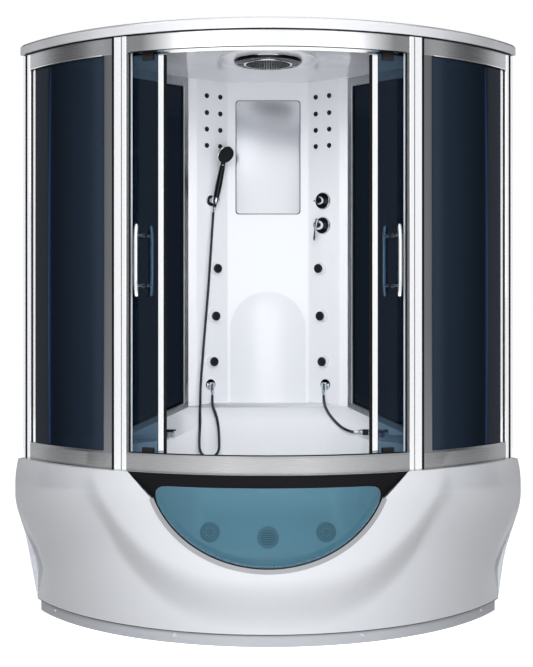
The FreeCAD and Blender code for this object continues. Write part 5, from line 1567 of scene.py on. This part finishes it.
@dataclass
class Trim:
    """Small parts: the screws at the skirt's foot, the shelf rods' knobs and the deck's fittings."""

    screw_z: float = 0.027
    screw_angles: tuple[float, ...] = (-45.5, -16.2, 16.4, 45.5)
    strip_recess: float = 0.008
    shelf_inset: float = 0.0433
    shelf_ends: tuple[float, float] = (0.481, 0.723)
    rod_inset: tuple[float, float] = (0.050, 0.092)
    knob: Profile = ((0, -0.006), (0.0062, -0.006), (0.0072, 0.0), (0.0108, 0.004), (0.0118, 0.0105),
                     (0.0095, 0.0165), (0, 0.0190))
    knob_heights: tuple[float, float] = (1.555, 1.875)
    shelf_heights: tuple[float, float] = (1.577, 1.845)
    nut: Profile = ((0.0052, -0.0050), (0.0092, -0.0050), (0.0098, -0.0030), (0.0098, -0.0005),
                    (0.0052, -0.0003))
    washer: Profile = ((0.0052, 0.0083), (0.0098, 0.0085), (0.0098, 0.0120), (0.0080, 0.0140),
                       (0.0052, 0.0140))
    filler: tuple[float, float, float] = (0.378, 0.775, 0.666)
    band: Profile = ((0.0108, 0), (0.0124, 0.0015), (0.0124, 0.0225), (0.0108, 0.024))
    band_starts: tuple[float, float] = (0.012, 0.056)
    ring: Profile = ((0.0108, 0.040), (0.0150, 0.0412), (0.0160, 0.0445), (0.0150, 0.0480), (0.0108, 0.0492))
    spout: Profile = ((0, 0.1040), (0.0108, 0.1040), (0.0128, 0.1055), (0.0128, 0.1130), (0.0100, 0.1165),
                      (0, 0.1170))
    air: tuple[float, float, float] = (-0.405, 0.775, 0.6642)
    air_knob: Profile = ((0, 0.0003), (0.0176, 0.0003), (0.0180, 0.002), (0.0174, 0.0105), (0.0150, 0.0140),
                         (0, 0.0144))
    air_ring: Profile = ((0.0180, 0.0012), (0.0186, 0.0018), (0.0186, 0.0040), (0.0178, 0.0046))
    pointer: tuple[float, float, float] = (0.0240, 0.0052, 0.0066)
    pointer_place: tuple[float, float, float] = (0.0135, 0.0, 0.0105)

    def screws(self, apron: Apron) -> None:
        """Makes the screws round the apron's foot."""
        heads = Studs("apron_screws", Look.ACRYLIC, 16)
        for angle in self.screw_angles:
            radius = apron.radius(angle, apron.low) - self.strip_recess
            heads.places.append((polar(radius, angle, self.screw_z), outward(angle)))
        heads.build("enclosure", "chrome", foot=0.0066, top=0.0050, height=0.0060)

    def shelf_knobs(self) -> None:
        """Makes the shelf rods' round end knobs and collars."""
        near, far = self.shelf_ends
        offset, away = self.rod_inset
        wall = CORNER_DEPTH - self.shelf_inset * ROOT_TWO
        length = (far - near) * ROOT_TWO
        knobs = Shape("shelf_knobs", Look.CHROME)
        for along in (offset, length - offset):
            x, y = (along - away) / ROOT_TWO, -(along + away) / ROOT_TWO
            foot = Vector((-(near + x), FRONT_Y + wall - near + y, 0.0))
            for z, way in zip(self.knob_heights, (-UP, UP)):
                knobs.lathe(self.knob, foot + UP * z, way, 28)
            for z in self.shelf_heights:
                knobs.lathe(self.nut, foot + UP * z, UP, 28)
                knobs.lathe(self.washer, foot + UP * z, UP, 28)
        knobs.build("enclosure", "chrome")

    def deck(self) -> None:
        """Makes the bath filler's bands, ring and end, and the air control's knob with its collar."""
        (x, depth, z), side = self.filler, Vector((1.0, 0.0, 0.0))
        start = Vector((x, FRONT_Y + depth, z))
        bands = Shape("filler_bands", Look.BLACK_SATIN)
        for begin in self.band_starts:
            bands.lathe(self.band, start + side * begin, side, 32)
        bands.build("enclosure", "black_plastic")
        ring = Shape("filler_ring", Look.CHROME).lathe(self.ring, start, side, 40).lathe(self.spout, start,
                                                                                         side, 40)
        ring.build("enclosure", "chrome")
        x, depth, z = self.air
        foot = Vector((x, FRONT_Y + depth, z))
        knob = Shape("air_knob", Look.BLACK_GLOSS).lathe(self.air_knob, foot, UP, 48)
        knob.block(foot + Vector(self.pointer_place), self.pointer)
        knob.build("air_control_knob", "chrome", 0.0004, replaces=("air_control_knob",))
        turned("air_knob_ring", Look.CHROME, self.air_ring, foot, UP, 48, "air_control_knob", "chrome")


# ---------------------------------------------------------------- studio


@dataclass
class Studio:
    """The camera, a pale floor and plain soft light."""

    focal: float = 64.77
    sensor: float = 36.0
    clip: float = 100.0
    place: tuple[float, float, float] = (0.0, -4.8437, 1.212)
    shift: tuple[float, float] = (-0.00225, -0.0502)
    floor_reach: float = 5.0
    floor_tones: tuple[tuple[float, float, float], ...] = ((0.86, 0.86, 0.87), (0.84, 0.84, 0.85))
    floor_dull: tuple[float, float, float] = (0.30, 0.30, 0.31)
    floor_glow: float = 0.90
    light: tuple[float, float, float] = (0.95, 0.97, 1.0)
    light_strength: float = 0.09
    screens: tuple[tuple[float, float], ...] = (
        (71.0, 1.0), (75.0, 0.05), (98.0, 0.05), (100.5, 0.98), (146.0, 0.98), (154.0, 0.04),
    )
    rear_tone: tuple[float, float, float] = (0.03, 0.03, 0.035)

    def camera(self) -> None:
        """Sets the camera to the photograph's view."""
        data = bpy.data.cameras.new("camera")
        data.lens, data.sensor_width, data.clip_end = self.focal, self.sensor, self.clip
        data.shift_x, data.shift_y = self.shift
        item = stand("camera", data)
        item.location = self.place
        item.rotation_euler = (math.radians(90.0), 0.0, 0.0)
        bpy.context.scene.camera = item

    def lamp(self, name: str, place: Sequence[float], target: Sequence[float], size: float,
             power: float) -> bpy.types.Object:
        """Adds a soft square lamp.

        Args:
            name: its name.
            place: where it stands.
            target: the point that it faces.
            size: its side.
            power: its strength in watts.

        Returns:
            The lamp.
        """
        data = bpy.data.lights.new(name, "AREA")
        data.shape, data.size, data.energy = "SQUARE", size, power
        item = stand(name, data)
        item.location = place
        item.rotation_euler = (Vector(target) - Vector(place)).to_track_quat("-Z", "Y").to_euler()
        return item

    def lamps(self) -> None:
        """Adds the lamps; those near the object show in nothing polished."""
        self.lamp("key", (-2.0, -5.4, 3.2), (0.0, 0.0, 1.1), 2.4, 17.0)
        self.lamp("fill", (2.4, -5.0, 2.2), (0.0, 0.0, 1.0), 2.0, 10.0)
        self.lamp("top", (0.0, 0.5, 5.0), (0.0, 0.0, 0.0), 3.0, 50.0)
        front = self.lamp("front", (0.0, -5.6, 1.3), (0.0, 0.0, 1.1), 1.8, 26.0)
        near = self.lamp("near", (0.0, -2.7, 1.1), (0.0, -0.6, 0.6), 1.0, 31.0)
        brow = self.lamp("brow", (0.0, -2.6, 2.5), (0.0, -0.6, 2.1), 0.8, 25.0)
        cabin = self.lamp("cabin", (0.0, -0.42, 1.42), (0.0, 1.0, 1.34), 0.55, 3.8)
        cabin.data.shape, cabin.data.size_y = "RECTANGLE", 1.3
        rear = [self.lamp(f"rear_{word}", (side * 3.4, 3.6, 2.8), (0.0, 0.4, 1.1), 1.6, 45.0) for side,
                word in SIDES]
        for lamp in (front, near, brow, cabin, *rear):
            lamp.visible_camera = lamp.visible_glossy = False

    def floor(self) -> None:
        """Lays the pale floor that keeps the object's shadow, duller for the light it throws back."""
        mesh = bpy.data.meshes.new("studio_floor")
        corners = [(self.floor_reach * x, self.floor_reach * y, 0) for x,
                   y in ((-1, -1), (1, -1), (1, 1), (-1, 1))]
        mesh.from_pydata(corners, [], [(0, 1, 2, 3)])
        nodes = Nodes("pale floor")
        path = nodes.add("ShaderNodeLightPath").outputs
        pale = nodes.blend(nodes.noise((0.8, 0.8, 0.8)), *self.floor_tones)
        dull = {"A": pale, "B": (*self.floor_dull, 1.0), "Factor": path["Is Diffuse Ray"]}
        tone = nodes.add("ShaderNodeMix", dull, data_type="RGBA").outputs["Result"]
        matt = nodes.add("ShaderNodeBsdfDiffuse", {"Color": tone}).outputs["BSDF"]
        seen = nodes.sum("MAXIMUM", path["Is Camera Ray"], path["Is Transmission Ray"])
        shown = nodes.sum("MULTIPLY", nodes.sum("MAXIMUM", seen, path["Is Glossy Ray"]), self.floor_glow)
        glow = nodes.add("ShaderNodeEmission", {"Strength": shown}).outputs["Emission"]
        total = nodes.add("ShaderNodeAddShader", {0: matt, 1: glow})
        mesh.materials.append(nodes.end(total.outputs["Shader"]))
        stand("studio_floor", mesh)

    def world(self) -> None:
        """Even light all round, and a white background where it is seen."""
        world = bpy.data.worlds.new("studio")
        bpy.context.scene.world = world
        world.use_nodes = True
        graph = Graph(world.node_tree)
        graph.tree.nodes.clear()
        light, white, room = (
            graph.add("ShaderNodeBackground", inputs).outputs["Background"] for inputs in (
                {"Color": (*self.light, 1.0), "Strength": self.light_strength},
                {"Color": (1.0, 1.0, 1.0, 1.0)},
                {"Color": self.bands(graph)},
            )
        )
        path = graph.add("ShaderNodeLightPath").outputs
        shine = graph.layer(path["Is Glossy Ray"], light, room)
        seen = graph.sum("MAXIMUM", path["Is Camera Ray"], path["Is Transmission Ray"])
        graph.add("ShaderNodeOutputWorld", {"Surface": graph.layer(seen, shine, white)})

    def bands(self, graph: Graph) -> bpy.types.NodeSocket:
        """A white studio with dark upright screens, which only polished surfaces show."""
        parts = graph.parts("Generated")
        turn = graph.sum("ARCTAN2", parts["X"], graph.sum("MULTIPLY", parts["Y"], -1.0))
        share = graph.add("ShaderNodeMapRange", {"From Max": math.pi, "Value": graph.sum("ABSOLUTE", turn)})
        ramp = graph.add("ShaderNodeValToRGB", {"Fac": share.outputs["Result"]})
        stops = ramp.color_ramp.elements
        stops[0].position, stops[0].color = 0.0, (1.0, 1.0, 1.0, 1.0)
        stops[1].position, stops[1].color = 1.0, (*self.rear_tone, 1.0)
        for degrees, tone in self.screens:
            stops.new(degrees / 180.0).color = (tone, tone, tone * 1.02, 1.0)
        return ramp.outputs["Color"]

    def build(self) -> None:
        """Sets up the view, the lamps, the floor and the world."""
        self.camera()
        self.lamps()
        self.floor()
        self.world()
        bpy.context.scene.view_settings.view_transform = "Standard"


def main() -> None:
    """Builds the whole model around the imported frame."""
    logging.basicConfig(level=logging.INFO, format="%(message)s")
    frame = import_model()
    Studio().build()
    Hose("shower_hose_wound", "shower_hose", 1.62, SHOWER_ROUTE).build("enclosure", "handset")
    Hose("bath_hose_wound", "bath_hose", 0.391, BATH_ROUTE).build("enclosure")
    Dressing(frame["nodes"]).dress()
    apron = Apron()
    apron.build()
    apron.foot_line()
    apron.surround("window_frame_band", Look.SURROUND, "satin_aluminium", (-0.009, 0.0075))
    apron.surround("window_seal_line", Look.RUBBER, "gasket", (-0.0125, -0.009))
    for piece in (Column(), BodyJets(), Valves(), Handset(), RainHead(), Posts(), Doors(), TubJets()):
        piece.build()
        LOG.info("built %s", type(piece).__name__)
    trim = Trim()
    trim.screws(apron)
    trim.shelf_knobs()
    trim.deck()


if __name__ == "__main__":
    main()
